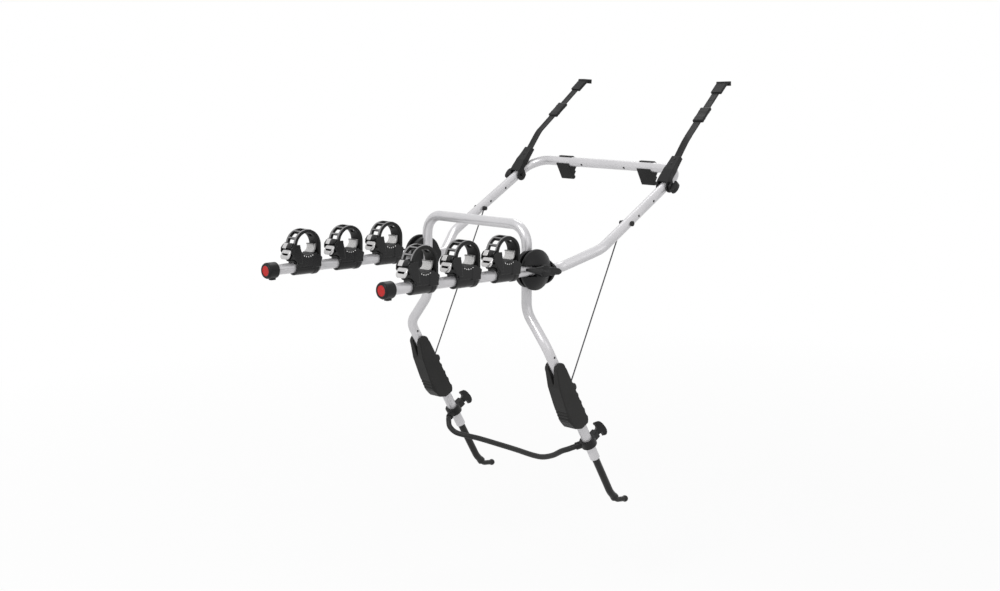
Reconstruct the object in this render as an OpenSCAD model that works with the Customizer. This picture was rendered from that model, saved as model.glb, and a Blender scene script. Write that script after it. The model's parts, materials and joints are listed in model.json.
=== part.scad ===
// Trunk mounted bike rack: two bent tube frames on a pair of locking hubs,
// two carrying arms with three strapped cradles each, telescopic lower hooks
// and two strap hooks for the upper edge of the hatch.
// Units are millimetres, +Z is up and +Y points to the car.

/* [Frame tubes] */
// outside diameter of every frame tube
tube_d = 25; // [24:0.5:26]
// wall thickness of the frame tubes
tube_wall = 1.8; // [1.4:0.1:2.2]
// distance between the two upright tubes of the lower frame
lower_w = 346; // [342:1:350]
// height of the lower frame's top bar above the hub axis
lower_top = 103; // [95:1:115]
// distance between the two lower legs
leg_w = 480; // [474:1:486]
// lean of the lower legs towards the car, degrees from upright
leg_lean = 30.5; // [29:0.5:32]
// length of a lower leg below its knee
leg_len = 352; // [346:1:364]
// distance between the two arms of the upper frame
upper_w = 514; // [508:1:520]
// rise of the upper frame, degrees above level
upper_rise = 29.1; // [28:0.1:30]
// length of an upper frame arm from its bend to the corner
upper_len = 359; // [355:1:370]

/* [Carrying arms] */
// distance between the two carrying arms
arm_w = 408; // [406:0.5:410]
// reach of a carrying arm from the hub axis
arm_len = 478; // [470:1:500]
// distance from the hub axis to the nearest cradle
cradle_first = 106; // [104:1:110]
// distance from the outer cradle to the end of its arm
cradle_end = 112; // [108:1:116]
// diameter of a reflector
reflector_d = 27; // [24:1:30]
// rise of the carrying arms towards their ends, degrees
arm_rise = 0.75; // [0:0.25:1.5]

/* [Cradles] */
// inside radius of a closed cradle strap
strap_r = 32; // [31.5:0.5:33]
// width of a cradle strap
strap_w = 36; // [34:0.5:37]
// thickness of a cradle strap
strap_t = 7; // [6:0.5:8]

/* [Hooks and hose] */
// diameter of the coated lower hook rods
rod_d = 18.5; // [17.5:0.5:19]
// width of the upper hook bands
band_w = 22; // [20:1:24]
// rise of the upper hook bands, degrees above level
band_rise = 51; // [49:1:53]
// diameter of the rubber hose
hose_d = 13; // [11:0.5:14]

/* [Hidden] */
$fn = 48;
// clearance of fixed fits and running clearance of pins
fit_gap = 0.3;
run_gap = 0.05;
// overrun of cutting shapes
over = 1;
// joints between straight and bent runs
core_len = 0.8;
core_step = 0.5;
seam = 0.03;
strip_rise = 0.05;

tube_r = tube_d / 2;
tube_in = tube_r - tube_wall;
seat_r = tube_r + fit_gap;

// lower frame
leg_x = leg_w / 2;
post_x = lower_w / 2;
post_low = 104;
knee_z = 184;
top_bend = 48;
post_bend = 60;
knee_bend = 50;
rim_len = 14;
rod_r = rod_d / 2;
leg_hole_s = 27;
leg_hole_r = 3.2;
bolt_r = 5;
bolt_head_r = 7;
bolt_head_t = 5;
bolt_end = 4;

// upper frame
arm2_x = upper_w / 2;
stub_x = 202;
stub_z = -4;
stub_y0 = 52;
stub_y1 = 86;
bend_y = 174;
bend_z = 38;
stub_bend = 40;
mid_bend = 70;
corner_bend = 56;
wire_u = 112;
spare_u = [146, 212];
clip_u = 279;
spare_r = 3.4;
wire_bolt_r = 3;
clip_bolt_r = 4;
bar_hole_x = 74;
corner_y = bend_y + upper_len * cos(upper_rise);
corner_z = bend_z + upper_len * sin(upper_rise);

// hub layers along X
base_x0 = 176;
base_x1 = 187;
plate_x0 = 187.3;
plate_x1 = 189.5;
cover_x0 = 189.8;
cover_x1 = 224;
cover_r = 49;
cover_rim = 206;
cover_back = 199;
cover_core = 38;
base_r = 45;
plate_r = 34;
fin_r0 = 50;
fin_r1 = 58;
fin_off = 100;
fin_x1 = 214;
fin_half = 36;
fin_turn = -13;
socket_r = 17;
socket_y1 = 60;
knob_x0 = 224.4;
knob_x1 = 238;
wing_front = 67;
wing_rear = 57;
wing_root = 20;
wing_tip = 11;
wing_turn = -8;
wing_flat = 12;
wing_inset = 2;
knob_r = 15;
arm_x = arm_w / 2;
arm_y0 = 14;
nest_gap = 0.1;
cover_floor = arm_x - tube_r - nest_gap - cover_x0;

// end cap
cap_r = 19;
cap_len = 25;
cap_end = 3;
reflector_t = 4;
reflector_out = 3;

// cradle, seen from the side with the arm axis at its origin
cradle_pitch = (arm_len - cradle_first - cradle_end) / 2;
loop_y = -7;
loop_z = 51;
sleeve_r = 18;
sleeve_front = -39;
sleeve_rear = 15;
foot_r = 19.5;
foot_tip_r = 15;
foot_rear = 33.5;
foot_cone = 8;
saddle_w = 41;
saddle_base = 4;
saddle_front = -36;
saddle_rear = 14;
saddle_low = 27;
seat_gap = 0.6;
seat_out = strap_r - seat_gap;
seat_in = 23;
front_top = 47;
cheek_top = 56;
rear_top = 33.7;
pad_low = rear_top + fit_gap;
pad_top = 54;
pad_w = 34;
strap_out = strap_r + strap_t;
strap_mid = strap_r + strap_t / 2;
pin_r = 2;
root_y = loop_y + strap_mid;
root_z = 19.5;
root_floor = 14.4;
tail_z = front_top - 1;
eye_r = strap_t / 2 + 1;
cheek_x0 = strap_w / 2 + 1;
cheek_t = 2.6;
cheek_cut = 3;
lever_y = loop_y - strap_out - 6;
lever_z = 43;
lever_len = 24;
lever_t = 3;
lever_w = strap_w - 3;
lever_tilt = 25;
lever_eye = 3.6;
lever_front = -3.1;
lever_lip = 2.4;
lever_slot = [20, 5];
lever_slot_z = -12;
slot_n = 3;
slot_step = 32;
slot_first = 100;
slot_w = 22;
slot_l = 12;
rear_slot_at = 42;
rear_slot_w = 11;
rear_slot_l = 8;

// grip, measured along the leg and forwards from its axis
grip_top = 46;
grip_end = 240;
grip_half = 20;
grip_rear = 15;
grip_front_top = 19;
grip_front_low = 43;
grip_front_mid = 30;
notch_s = 98;
wave_n = 4;
wave_pitch = 24;
wave_r = 10;
rib_n = 4;
rib_pitch = 9;
rib_r = 1.6;
rib_first = 44;
wave_rise = 2;
wire_s = 132;
wire_n = -17;
lug_r = 9;

// clamp collar with its knob
clamp_s = 300;
clamp_len = 20;
clamp_r = 20;
ear_w = 18;
ear_n = -35;
screw_r = 3;
tknob_n = -52;
tbar_len = 40;
tbar_r = 7.5;
tbar_neck = 5.5;
tbar_turn = 25;
hose_r = hose_d / 2;
boss_r = hose_r + 3;
boss_n = 33;
hose_in = 19;
boss_turn = [20, 45];

// lower hook rod
rod_top = 225;
rod_knee = 470;
rod_bend = 60;
rod_turn = 14.5;
rod_end = 28;
neck_r = 6.5;
neck_from = 20;
neck_knee = 38;
neck_bend = 18;
neck_turn = 51.5;
neck_len = 33;
toe_r = 8.5;

// strap hook on the upper frame
clip_half = 17.3;
clip_in = 13.2;
clip_wall = 14.6;
clip_top = 18;
clip_low = -15;
clip_end = 86;
clip_start = 3;
band_t = 3.2;
band_b = 6;
band_a0 = 44;
band_knee = 143;
band_bend = 120;
band_turn = 12;
band_core = 2.4;
toe_in = 4;
band_pad0 = 68;
band_pad1 = 120;
band_end = 205;
pad_half = 16;
pad_t = 9;
hook_l0 = 180;
hook_l1 = 222;
hook_t = 7.6;
hook_set = 1.2;
hook_step = 0.6;
hook_flat = 18;
hook_lip = 12;
hook_half = 16;
clip_knob_x0 = 17.8;
clip_knob_len = 22;
clip_knob_r = 13;
lobe_r = 6.5;
lobe_at = 11;

// crossbar pads
foot_x = 141;
foot_w = 45;
foot_front = -15;
foot_low = -47;
foot_lip = 2.5;
foot_ridge = [4, 15];
foot_back = [24, -6];
foot_toe = -8;
tooth_n = 4;
tooth_h = 5;

// hose route between the two clamp collars, left to right
hose_route = [[-221, 116, -467.5], [-215.5, 113, -477], [-207, 114, -485.5], [-197, 119, -493],
              [-184, 126, -497], [-163, 134, -499.5], [-129, 141, -501.5], [-64, 144, -504.5],
              [4, 142, -506], [63, 137, -507], [106, 131, -503], [148, 124, -489],
              [181, 119, -471], [202.5, 120, -461.5]];
hose_steps = 3;
hose_sides = 10;

// the seat under the upper hooks lies at the origin
clip_y = bend_y + clip_u * cos(upper_rise);
clip_z = bend_z + clip_u * sin(upper_rise);
band_fall = band_rise - band_turn;
knee_y = clip_y + band_knee * cos(band_rise) - band_b * sin(band_rise);
knee_up = clip_z + band_knee * sin(band_rise) + band_b * cos(band_rise);
hook_y = knee_y + hook_l1 * cos(toe_in) * cos(band_fall);
hook_z = knee_up + hook_l1 * cos(toe_in) * sin(band_fall) - hook_t / 2;

// colours
silver = [0.80, 0.81, 0.83];
black = [0.09, 0.09, 0.10];
rubber = [0.06, 0.06, 0.06];
steel = [0.60, 0.61, 0.63];
red = [0.75, 0.05, 0.05];
grey = [0.62, 0.63, 0.64];

// helpers for bent tubes
function unit(v) = v / norm(v);
function half_turn(a, b, c) = acos(unit(b - a) * unit(c - b)) / 2;
function cut(a, b, c, r) = r * tan(half_turn(a, b, c));
function mirrored(p) = [-p.x, p.y, p.z];
function backwards(list) = [for (i = [len(list) - 1 : -1 : 0]) list[i]];
function along(p, q, d) = p + unit(q - p) * d;

module rod_between(a, b, r) {
    v = b - a;
    translate(a)
        rotate([0, acos(v.z / norm(v)), atan2(v.y, v.x)])
            cylinder(r = r, h = norm(v));
}

module elbow(a, b, c, bend, r) {
    d = unit(b - a);
    k = unit(cross(b - a, c - b));
    q = cross(k, d);
    o = b - d * cut(a, b, c, bend) + q * bend;
    multmatrix([[-q.x, d.x, k.x, o.x], [-q.y, d.y, k.y, o.y], [-q.z, d.z, k.z, o.z], [0, 0, 0, 1]])
        rotate_extrude(angle = 2 * half_turn(a, b, c))
            translate([bend, 0])
                circle(r = r);
}

// a short core joins each straight to its elbow: thinner in a solid, wider in a cut
module joint_core(p, q, r) {
    rod_between(along(p, q, -core_len / 2), along(p, q, core_len / 2), r);
}

module bent_rod(pts, bends, r, core) {
    last = len(pts) - 1;
    for (i = [0 : last - 1]) {
        a = i == 0 ? pts[0]
            : along(pts[i], pts[i + 1], cut(pts[i - 1], pts[i], pts[i + 1], bends[i - 1]));
        b = i == last - 1 ? pts[last]
            : along(pts[i + 1], pts[i], cut(pts[i], pts[i + 1], pts[i + 2], bends[i]));
        rod_between(i == 0 ? a : along(a, b, seam), i == last - 1 ? b : along(b, a, seam), r);
        if (i > 0)
            joint_core(a, b, r + core);
        if (i < last - 1)
            joint_core(b, a, r + core);
    }
    for (i = [1 : last - 1])
        elbow(pts[i - 1], pts[i], pts[i + 1], bends[i - 1], r);
}

// local frames
module placed() {
    translate([0, -hook_y, -hook_z])
        children();
}

module left_side() {
    mirror([1, 0, 0])
        children();
}

module both_sides() {
    children();
    left_side()
        children();
}

// x across, y forwards from the leg axis, z down the leg
module on_leg() {
    translate([leg_x, 0, -knee_z])
        rotate([180 + leg_lean, 0, 0])
            children();
}

// y along the upper frame arm, z square to the frame
module on_upper() {
    translate([arm2_x, bend_y, bend_z])
        rotate([upper_rise, 0, 0])
            children();
}

// y along the strap clip, z square to the band
module on_clip() {
    translate([arm2_x, clip_y, clip_z])
        rotate([band_rise, 0, 0])
            children();
}

// y along the outer run of the band
module on_band() {
    on_clip()
        translate([0, band_knee, band_b])
            rotate([-band_turn, 0, 0])
                rotate([0, 0, toe_in])
                    children();
}

// the carrying arm leans up from the hub axis
module on_arm() {
    rotate([-arm_rise, 0, 0])
        children();
}

// place 0 is the outer cradle, 2 the one next to the hub
module on_cradle(place) {
    on_arm()
        translate([arm_x, -cradle_first - (2 - place) * cradle_pitch, 0])
            children();
}

// a flat outline in the Y-Z plane given a width along X
module side_plate(w) {
    translate([-w / 2, 0, 0])
        rotate([90, 0, 90])
            linear_extrude(height = w)
                children();
}

module x_pin(x0, x1, r) {
    translate([x0, 0, 0])
        rotate([0, 90, 0])
            cylinder(r = r, h = x1 - x0);
}

// lower frame
function leg_end(s) = [leg_x, s * sin(leg_lean), -knee_z - s * cos(leg_lean)];
function lower_half(s) = [leg_end(s), [leg_x, 0, -knee_z], [post_x, 0, -post_low], [post_x, 0, lower_top]];
function lower_path(s) = concat([for (p = lower_half(s)) mirrored(p)], backwards(lower_half(s)));
lower_bends = [knee_bend, post_bend, top_bend, top_bend, post_bend, knee_bend];

module lower_frame() {
    placed()
        color(silver)
            difference() {
                bent_rod(lower_path(leg_len), lower_bends, tube_r, -core_step);
                bent_rod(lower_path(leg_len - rim_len), lower_bends, tube_in, core_step);
                both_sides() {
                    on_leg() {
                        translate([0, 0, leg_len - rim_len - over])
                            cylinder(r = rod_r + run_gap, h = rim_len + 2 * over);
                        translate([0, 0, leg_hole_s])
                            x_pin(-tube_d, tube_d, leg_hole_r);
                        translate([0, 0, clamp_s])
                            rotate([90, 0, 0])
                                cylinder(r = screw_r + fit_gap, h = tube_d);
                    }
                    x_pin(post_x, post_x + tube_d, bolt_r + fit_gap);
                }
            }
}

// hub parts fixed to the lower frame
module hub_base() {
    color(black)
        difference() {
            x_pin(base_x0, base_x1, base_r);
            translate([post_x, 0, -base_r - over])
                cylinder(r = seat_r, h = 2 * base_r + 2 * over);
            x_pin(base_x0 - over, base_x1 + over, bolt_r + run_gap);
        }
}

module left_hub_base() {
    placed()
        left_side()
            hub_base();
}

module right_hub_base() {
    placed()
        hub_base();
}

module hub_bolts() {
    placed()
        color(steel)
            both_sides() {
                x_pin(post_x - bolt_head_t, knob_x1 - bolt_end, bolt_r);
                x_pin(post_x - bolt_head_t, post_x, bolt_head_r);
            }
}

// hand grip on the lower leg
module grip_solid() {
    w = 2 * grip_half;
    union() {
        linear_extrude(height = w)
            polygon([[grip_top + 6, -grip_rear + 4], [grip_top + 6, grip_front_top - 4],
                     [notch_s, grip_front_mid], [grip_end - 46, grip_front_low], [grip_end - 16, grip_front_low - 9],
                     [grip_end - 2, grip_front_low - 27], [grip_end, -grip_rear + 6],
                     [grip_end - 8, -grip_rear], [grip_top + 26, -grip_rear]]);
        translate([grip_top + 15, 2, 0])
            cylinder(r = 16, h = w);
        for (i = [0 : wave_n - 1])
            translate([grip_end - 16 - i * wave_pitch, wave_r - grip_rear - wave_rise, 0])
                cylinder(r = wave_r, h = w);
        translate([wire_s - 3, -grip_rear, 0])
            cylinder(r = lug_r, h = w);
    }
}

module rounded_box_2d(x0, y0, x1, y1, r) {
    translate([x0 + r, y0])
        square([x1 - x0 - 2 * r, y1 - y0]);
    translate([x0, y0 + r])
        square([x1 - x0, y1 - y0 - 2 * r]);
    for (x = [x0 + r, x1 - r], y = [y0 + r, y1 - r])
        translate([x, y])
            circle(r = r);
}

module grip() {
    color(black)
        on_leg()
            difference() {
                intersection() {
                    rotate([0, -90, 0])
                        translate([0, 0, -grip_half])
                            grip_solid();
                    linear_extrude(height = grip_end + over)
                        rounded_box_2d(-grip_half, -grip_rear - 12, grip_half, grip_front_low + 2, 11);
                }
                translate([0, 0, grip_top - 10])
                    cylinder(r = seat_r, h = grip_end);
                translate([0, 0, 0])
                    rotate([-90, 0, 0])
                        linear_extrude(height = grip_front_low + 10)
                            polygon([[-18, 0], [18, 0], [0, -notch_s]]);
                for (i = [0 : rib_n - 1])
                    translate([0, grip_front_low - 0.4 - 1.3 * i, grip_end - rib_first - i * rib_pitch])
                        x_pin(-2 * grip_half, 2 * grip_half, rib_r);
                translate([0, wire_n, wire_s])
                    rotate([wire_tilt, 0, 0])
                        translate([0, 0, -8])
                            cylinder(r = 3.4, h = 60);
            }
}

module left_grip() {
    placed()
        left_side()
            grip();
}

module right_grip() {
    placed()
        grip();
}

// clamp collar that locks the hook rod and holds the hose
module leg_clamp(turn) {
    color(black)
        on_leg()
            translate([0, 0, clamp_s])
                difference() {
                    union() {
                        translate([0, 0, -clamp_len / 2])
                            cylinder(r = clamp_r, h = clamp_len);
                        translate([-ear_w / 2, ear_n, -clamp_len / 2])
                            cube([ear_w, -ear_n, clamp_len]);
                        rotate([-90, 0, turn])
                            cylinder(r = boss_r, h = boss_n);
                    }
                    translate([0, 0, -clamp_len])
                        cylinder(r = seat_r, h = 2 * clamp_len);
                    rotate([90, 0, 0])
                        cylinder(r = screw_r + run_gap, h = -ear_n + over);
                    rotate([0, 0, turn])
                        translate([0, hose_in, 0])
                            rotate([-90, 0, 0])
                                cylinder(r = hose_r + fit_gap, h = boss_n);
                }
}

module left_leg_clamp() {
    placed()
        left_side()
            leg_clamp(boss_turn[0]);
}

module right_leg_clamp() {
    placed()
        leg_clamp(boss_turn[1]);
}

// hose between the collars
function boss_point(n, turn) = leg_end(clamp_s)
    + n * [-sin(turn), -cos(turn) * cos(leg_lean), -cos(turn) * sin(leg_lean)];
hose_ends = [hose_in + over, boss_n, boss_n + 5];
hose_knots = concat([for (n = hose_ends) mirrored(boss_point(n, boss_turn[0]))], hose_route,
                    backwards([for (n = hose_ends) boss_point(n, boss_turn[1])]));

// a smooth curve through the knots
function curve(p, i, t) = let (a = p[max(i - 1, 0)], b = p[i], c = p[i + 1], d = p[min(i + 2, len(p) - 1)])
    b + t / 2 * (c - a + t * (2 * a - 5 * b + 4 * c - d + t * (3 * (b - c) + d - a)));
hose_path = concat([for (i = [0 : len(hose_knots) - 2], k = [0 : hose_steps - 1])
                       curve(hose_knots, i, k / hose_steps)],
                   [hose_knots[len(hose_knots) - 1]]);

module swept(path, r, sides) {
    last = len(path) - 1;
    dirs = [for (i = [0 : last]) unit(path[min(i + 1, last)] - path[max(i - 1, 0)])];
    ref = [0.2, 0.97, 0.1];
    rings = [for (i = [0 : last])
        let (u = unit(cross(dirs[i], ref)), v = cross(dirs[i], u))
        for (j = [0 : sides - 1])
            path[i] + r * (u * cos(360 * j / sides) + v * sin(360 * j / sides))];
    sheath = [for (i = [0 : last - 1], j = [0 : sides - 1])
        [i * sides + j, (i + 1) * sides + j, (i + 1) * sides + (j + 1) % sides, i * sides + (j + 1) % sides]];
    start = [[for (j = [0 : sides - 1]) j]];
    end = [[for (j = [sides - 1 : -1 : 0]) last * sides + j]];
    polyhedron(points = rings, faces = concat(sheath, start, end), convexity = 6);
}

module hose() {
    placed()
        color(rubber)
            swept(hose_path, hose_r, hose_sides);
}

// upper frame
upper_half = [[stub_x, stub_y0, stub_z], [stub_x, stub_y1, stub_z], [arm2_x, bend_y, bend_z],
              [arm2_x, corner_y, corner_z]];
upper_bends = [stub_bend, mid_bend, corner_bend, corner_bend, mid_bend, stub_bend];

function upper_path(extra) = let (h = concat([upper_half[0] - [0, extra, 0]],
                                             [for (i = [1 : 3]) upper_half[i]]))
    concat(h, backwards([for (p = h) mirrored(p)]));

module upper_frame() {
    placed()
        color(silver)
            difference() {
                bent_rod(upper_path(0), upper_bends, tube_r, -core_step);
                bent_rod(upper_path(over), upper_bends, tube_in, core_step);
                both_sides() {
                    on_upper() {
                        for (u = spare_u)
                            translate([0, u, 0])
                                x_pin(-tube_d, tube_d, spare_r);
                        translate([0, wire_u, 0])
                            x_pin(-tube_d, tube_d, wire_bolt_r + fit_gap);
                        translate([0, clip_u, 0])
                            x_pin(-tube_d, tube_d, clip_bolt_r + run_gap);
                    }
                    translate([bar_hole_x, corner_y, corner_z])
                        rotate([upper_rise + 90, 0, 0])
                            translate([0, 0, -tube_d])
                                cylinder(r = spare_r, h = 2 * tube_d);
                }
            }
}

module pie_2d(r, half) {
    intersection() {
        circle(r = r);
        polygon([[0, 0], [2 * r * cos(half), 2 * r * sin(half)], [2 * r, 0],
                 [2 * r * cos(half), -2 * r * sin(half)]]);
    }
}

// the plate frame is turned so that its y runs to the car and z up
module x_plate(x0, x1) {
    translate([x0, 0, 0])
        rotate([90, 0, 90])
            linear_extrude(height = x1 - x0)
                children();
}

module hub_collar() {
    color(black)
        difference() {
            union() {
                x_pin(plate_x0, plate_x1, plate_r);
                x_plate(plate_x0, plate_x1)
                    rotate(fin_turn)
                        pie_2d(fin_r1, fin_half);
                x_plate(plate_x0, fin_x1)
                    rotate(fin_turn)
                        difference() {
                            pie_2d(fin_r1, fin_half);
                            translate([-fin_off, 0])
                                circle(r = fin_r0 + fin_off);
                        }
                translate([stub_x, stub_y0, stub_z])
                    rotate([-90, 0, 0])
                        cylinder(r = socket_r, h = socket_y1 - stub_y0);
            }
            translate([stub_x, 20, stub_z])
                rotate([-90, 0, 0])
                    cylinder(r = seat_r, h = 80);
            x_pin(plate_x0 - over, plate_x1 + over, bolt_r + run_gap);
        }
}

module left_hub_collar() {
    placed()
        left_side()
            hub_collar();
}

module right_hub_collar() {
    placed()
        hub_collar();
}

module foot_2d() {
    toe = [foot_toe, foot_low];
    step = (toe - foot_back) / tooth_n;
    inwards = [-step.y, step.x] * tooth_h / norm(step);
    polygon(concat([toe, [foot_front, foot_low], [foot_front, foot_lip], [0, foot_lip], foot_ridge,
                    [foot_ridge.x + 9, foot_ridge.y - 4], foot_back],
                   [for (i = [0 : tooth_n - 1], e = [0, 1])
                       foot_back + step * (i + (e == 0 ? 0.45 : 0.55)) - inwards * (1 - e)]));
}

module crossbar_pads() {
    placed()
        color(rubber)
            both_sides()
                translate([foot_x, corner_y, corner_z])
                    rotate([upper_rise, 0, 0])
                        side_plate(foot_w)
                            difference() {
                                foot_2d();
                                circle(r = seat_r);
                            }
}

// bolts and tie wires between the frames
module wire_bolts() {
    placed()
        color(black)
            both_sides()
                on_upper()
                    translate([0, wire_u, 0]) {
                        x_pin(-tube_r - 10, tube_r + over, wire_bolt_r);
                        x_pin(seat_r, tube_r + 4.5, 6.5);
                        x_pin(-tube_r - 10, -tube_r - 5, 5.5);
                    }
}

eye_x = tube_r + 3.4;
wire_top = [arm2_x - eye_x, bend_y + wire_u * cos(upper_rise), bend_z + wire_u * sin(upper_rise)];
wire_foot = [leg_x, wire_s * sin(leg_lean) - wire_n * cos(leg_lean),
             -knee_z - wire_s * cos(leg_lean) - wire_n * sin(leg_lean)];
wire_run = wire_top - wire_foot;
wire_tilt = 180 - leg_lean - atan2(wire_run.y, wire_run.z);
wire_r = 1.7;
ferrule_r = 2.8;

module wires() {
    placed()
        color(steel)
            both_sides()
                difference() {
                    union() {
                        rod_between(wire_foot, along(wire_top, wire_foot, 6), wire_r);
                        rod_between(wire_foot, along(wire_foot, wire_top, 10), ferrule_r);
                        translate(wire_top)
                            x_pin(-1.3, 1.3, 6.4);
                    }
                    translate(wire_top)
                        x_pin(-5, 5, wire_bolt_r + fit_gap);
                }
}

// carrying arms
module arm() {
    color(silver)
        translate([arm_x, -arm_y0, 0])
            rotate([90, 0, 0])
                difference() {
                    cylinder(r = tube_r, h = arm_len - arm_y0);
                    translate([0, 0, -over])
                        cylinder(r = tube_in, h = arm_len - arm_y0 + 2 * over);
                }
}

module left_arm() {
    placed()
        left_side()
            on_arm()
                arm();
}

module right_arm() {
    placed()
        on_arm()
            arm();
}

module end_cap() {
    color(black)
        translate([arm_x, -arm_len - cap_end, 0])
            rotate([-90, 0, 0])
                difference() {
                    union() {
                        cylinder(r = cap_r, h = cap_len);
                        translate([-5, 0, cap_len - 16])
                            cube([10, cap_r + 4, 14]);
                    }
                    translate([0, 0, cap_end])
                        cylinder(r = seat_r, h = cap_len);
                    translate([0, 0, -over])
                        cylinder(r = reflector_d / 2 + fit_gap, h = over + reflector_t - reflector_out);
                }
}

module left_end_cap() {
    placed()
        left_side()
            on_arm()
                end_cap();
}

module right_end_cap() {
    placed()
        on_arm()
            end_cap();
}

module reflector() {
    color(red)
        translate([arm_x, -arm_len - cap_end - reflector_out, 0])
            rotate([-90, 0, 0])
                cylinder(r = reflector_d / 2, h = reflector_t);
}

module left_reflector() {
    placed()
        left_side()
            on_arm()
                reflector();
}

module right_reflector() {
    placed()
        on_arm()
            reflector();
}

module hub_cover() {
    dome_h = cover_x1 - cover_rim;
    dome_r = (cover_r * cover_r + dome_h * dome_h) / (2 * dome_h);
    slot_z = tube_r + nest_gap;
    color(black)
        difference() {
            intersection() {
                union() {
                    x_pin(cover_x0, cover_back + over, cover_core);
                    x_pin(cover_back, cover_x1 + over, cover_r);
                }
                translate([cover_x1 - dome_r, 0, 0])
                    rotate([0, 0, 90])
                        sphere(r = dome_r);
            }
            translate([cover_x0 + cover_floor, -2 * cover_r, -slot_z])
                cube([cover_x1, 2 * cover_r - arm_y0 + nest_gap, 2 * slot_z]);
            x_pin(cover_x0 - over, cover_x1 + over, bolt_r + run_gap);
        }
}

module left_hub_cover() {
    placed()
        left_side()
            on_arm()
                hub_cover();
}

module right_hub_cover() {
    placed()
        on_arm()
            hub_cover();
}

module wing_2d() {
    polygon([[-wing_front, -wing_tip / 2], [-wing_front, wing_tip / 2], [-wing_flat, wing_root / 2],
             [wing_flat, wing_root / 2], [wing_rear, wing_tip / 2], [wing_rear, -wing_tip / 2],
             [wing_flat, -wing_root / 2], [-wing_flat, -wing_root / 2]]);
}

module hub_knob() {
    color(black)
        difference() {
            union() {
                x_pin(knob_x0, knob_x1, knob_r);
                x_plate(knob_x0 + wing_inset, knob_x1 - wing_inset)
                    rotate(wing_turn)
                        wing_2d();
            }
            x_pin(knob_x0 - over, knob_x1 - bolt_end + over, bolt_r + run_gap);
        }
}

module left_hub_knob() {
    placed()
        left_side()
            hub_knob();
}

module right_hub_knob() {
    placed()
        hub_knob();
}

// cradle body with its sleeve, foot, saddle and cheeks
module saddle_2d() {
    difference() {
        union() {
            translate([loop_y, loop_z])
                circle(r = seat_out);
            translate([saddle_front, saddle_base])
                square([saddle_rear - saddle_front, saddle_low - saddle_base]);
        }
        translate([loop_y, loop_z])
            circle(r = seat_in);
        translate([loop_y - 2 * strap_out, front_top])
            square([2 * strap_out, strap_out]);
        translate([loop_y - 2, rear_top])
            square([2 * strap_out, 2 * strap_out]);
    }
}

module rear_cheek_2d() {
    polygon([[4, 0], [4, 26], [10, 30], [18, 31], [root_y, root_z + 7], [foot_rear, root_z + 3], [foot_rear, root_z],
             [foot_rear - cheek_cut, root_z / 2], [foot_rear - cheek_cut, 0]]);
}

module front_cheek_2d() {
    polygon([[-26, 12], [loop_y - seat_in - 2, cheek_top], [lever_y + 2, cheek_top + 1],
             [lever_y - 5, lever_z + 6], [lever_y - 6, lever_z - 3], [lever_y, lever_z - 13], [-40, 14]]);
}

module y_tube(y0, y1, r0, r1) {
    translate([0, y0, 0])
        rotate([-90, 0, 0])
            cylinder(r1 = r0, r2 = r1, h = y1 - y0);
}

module cradle_body() {
    color(black)
        difference() {
            union() {
                y_tube(sleeve_front, sleeve_rear + over, sleeve_r, sleeve_r);
                y_tube(sleeve_rear, foot_rear - foot_cone, foot_r, foot_r);
                y_tube(foot_rear - foot_cone, foot_rear, foot_r, foot_tip_r);
                side_plate(saddle_w)
                    saddle_2d();
                for (x = [cheek_x0 + cheek_t / 2, -cheek_x0 - cheek_t / 2])
                    translate([x, 0, 0]) {
                        side_plate(cheek_t)
                            rear_cheek_2d();
                        side_plate(cheek_t)
                            front_cheek_2d();
                    }
            }
            y_tube(sleeve_front - over, foot_rear + over, seat_r, seat_r);
            translate([-cheek_x0, saddle_rear + over, root_floor])
                cube([2 * cheek_x0, foot_rear, root_z]);
            translate([0, root_y, root_z])
                x_pin(-saddle_w, saddle_w, pin_r + run_gap);
            translate([0, lever_y, lever_z])
                x_pin(-saddle_w, saddle_w, pin_r + run_gap);
        }
}

module left_outer_cradle() {
    placed()
        left_side()
            on_cradle(0)
                cradle_body();
}

module left_middle_cradle() {
    placed()
        left_side()
            on_cradle(1)
                cradle_body();
}

module left_inner_cradle() {
    placed()
        left_side()
            on_cradle(2)
                cradle_body();
}

module right_outer_cradle() {
    placed()
        on_cradle(0)
            cradle_body();
}

module right_middle_cradle() {
    placed()
        on_cradle(1)
            cradle_body();
}

module right_inner_cradle() {
    placed()
        on_cradle(2)
            cradle_body();
}

// soft pads at the rear of the saddles
module cradle_pad() {
    side_plate(pad_w)
        difference() {
            translate([loop_y, loop_z])
                circle(r = seat_out);
            translate([loop_y, loop_z])
                circle(r = seat_in);
            translate([loop_y - strap_out, pad_top])
                square([2 * strap_out, strap_out]);
            translate([loop_y - strap_out, pad_low - 2 * strap_out])
                square([2 * strap_out, 2 * strap_out]);
            translate([loop_y - 2 * strap_out, 0])
                square([2 * strap_out, 2 * loop_z]);
        }
}

module cradle_pads() {
    color(grey)
        for (place = [0 : 2])
            on_cradle(place)
                cradle_pad();
}

module left_cradle_pads() {
    placed()
        left_side()
            cradle_pads();
}

module right_cradle_pads() {
    placed()
        cradle_pads();
}

module cradle_pins() {
    color(steel)
        for (place = [0 : 2])
            on_cradle(place) {
                translate([0, root_y, root_z])
                    x_pin(-cheek_x0 - cheek_t, cheek_x0 + cheek_t, pin_r);
                translate([0, lever_y, lever_z])
                    x_pin(-cheek_x0 - cheek_t, cheek_x0 + cheek_t, pin_r);
            }
}

module left_cradle_pins() {
    placed()
        left_side()
            cradle_pins();
}

module right_cradle_pins() {
    placed()
        cradle_pins();
}

// cradle strap: up from its pin, over the loop and down into the buckle
module strap_slot(at, w, l) {
    translate([0, loop_y, loop_z])
        rotate([at, 0, 0])
            translate([-w / 2, strap_r - over, -l / 2])
                cube([w, strap_t + 2 * over, l]);
}

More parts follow.
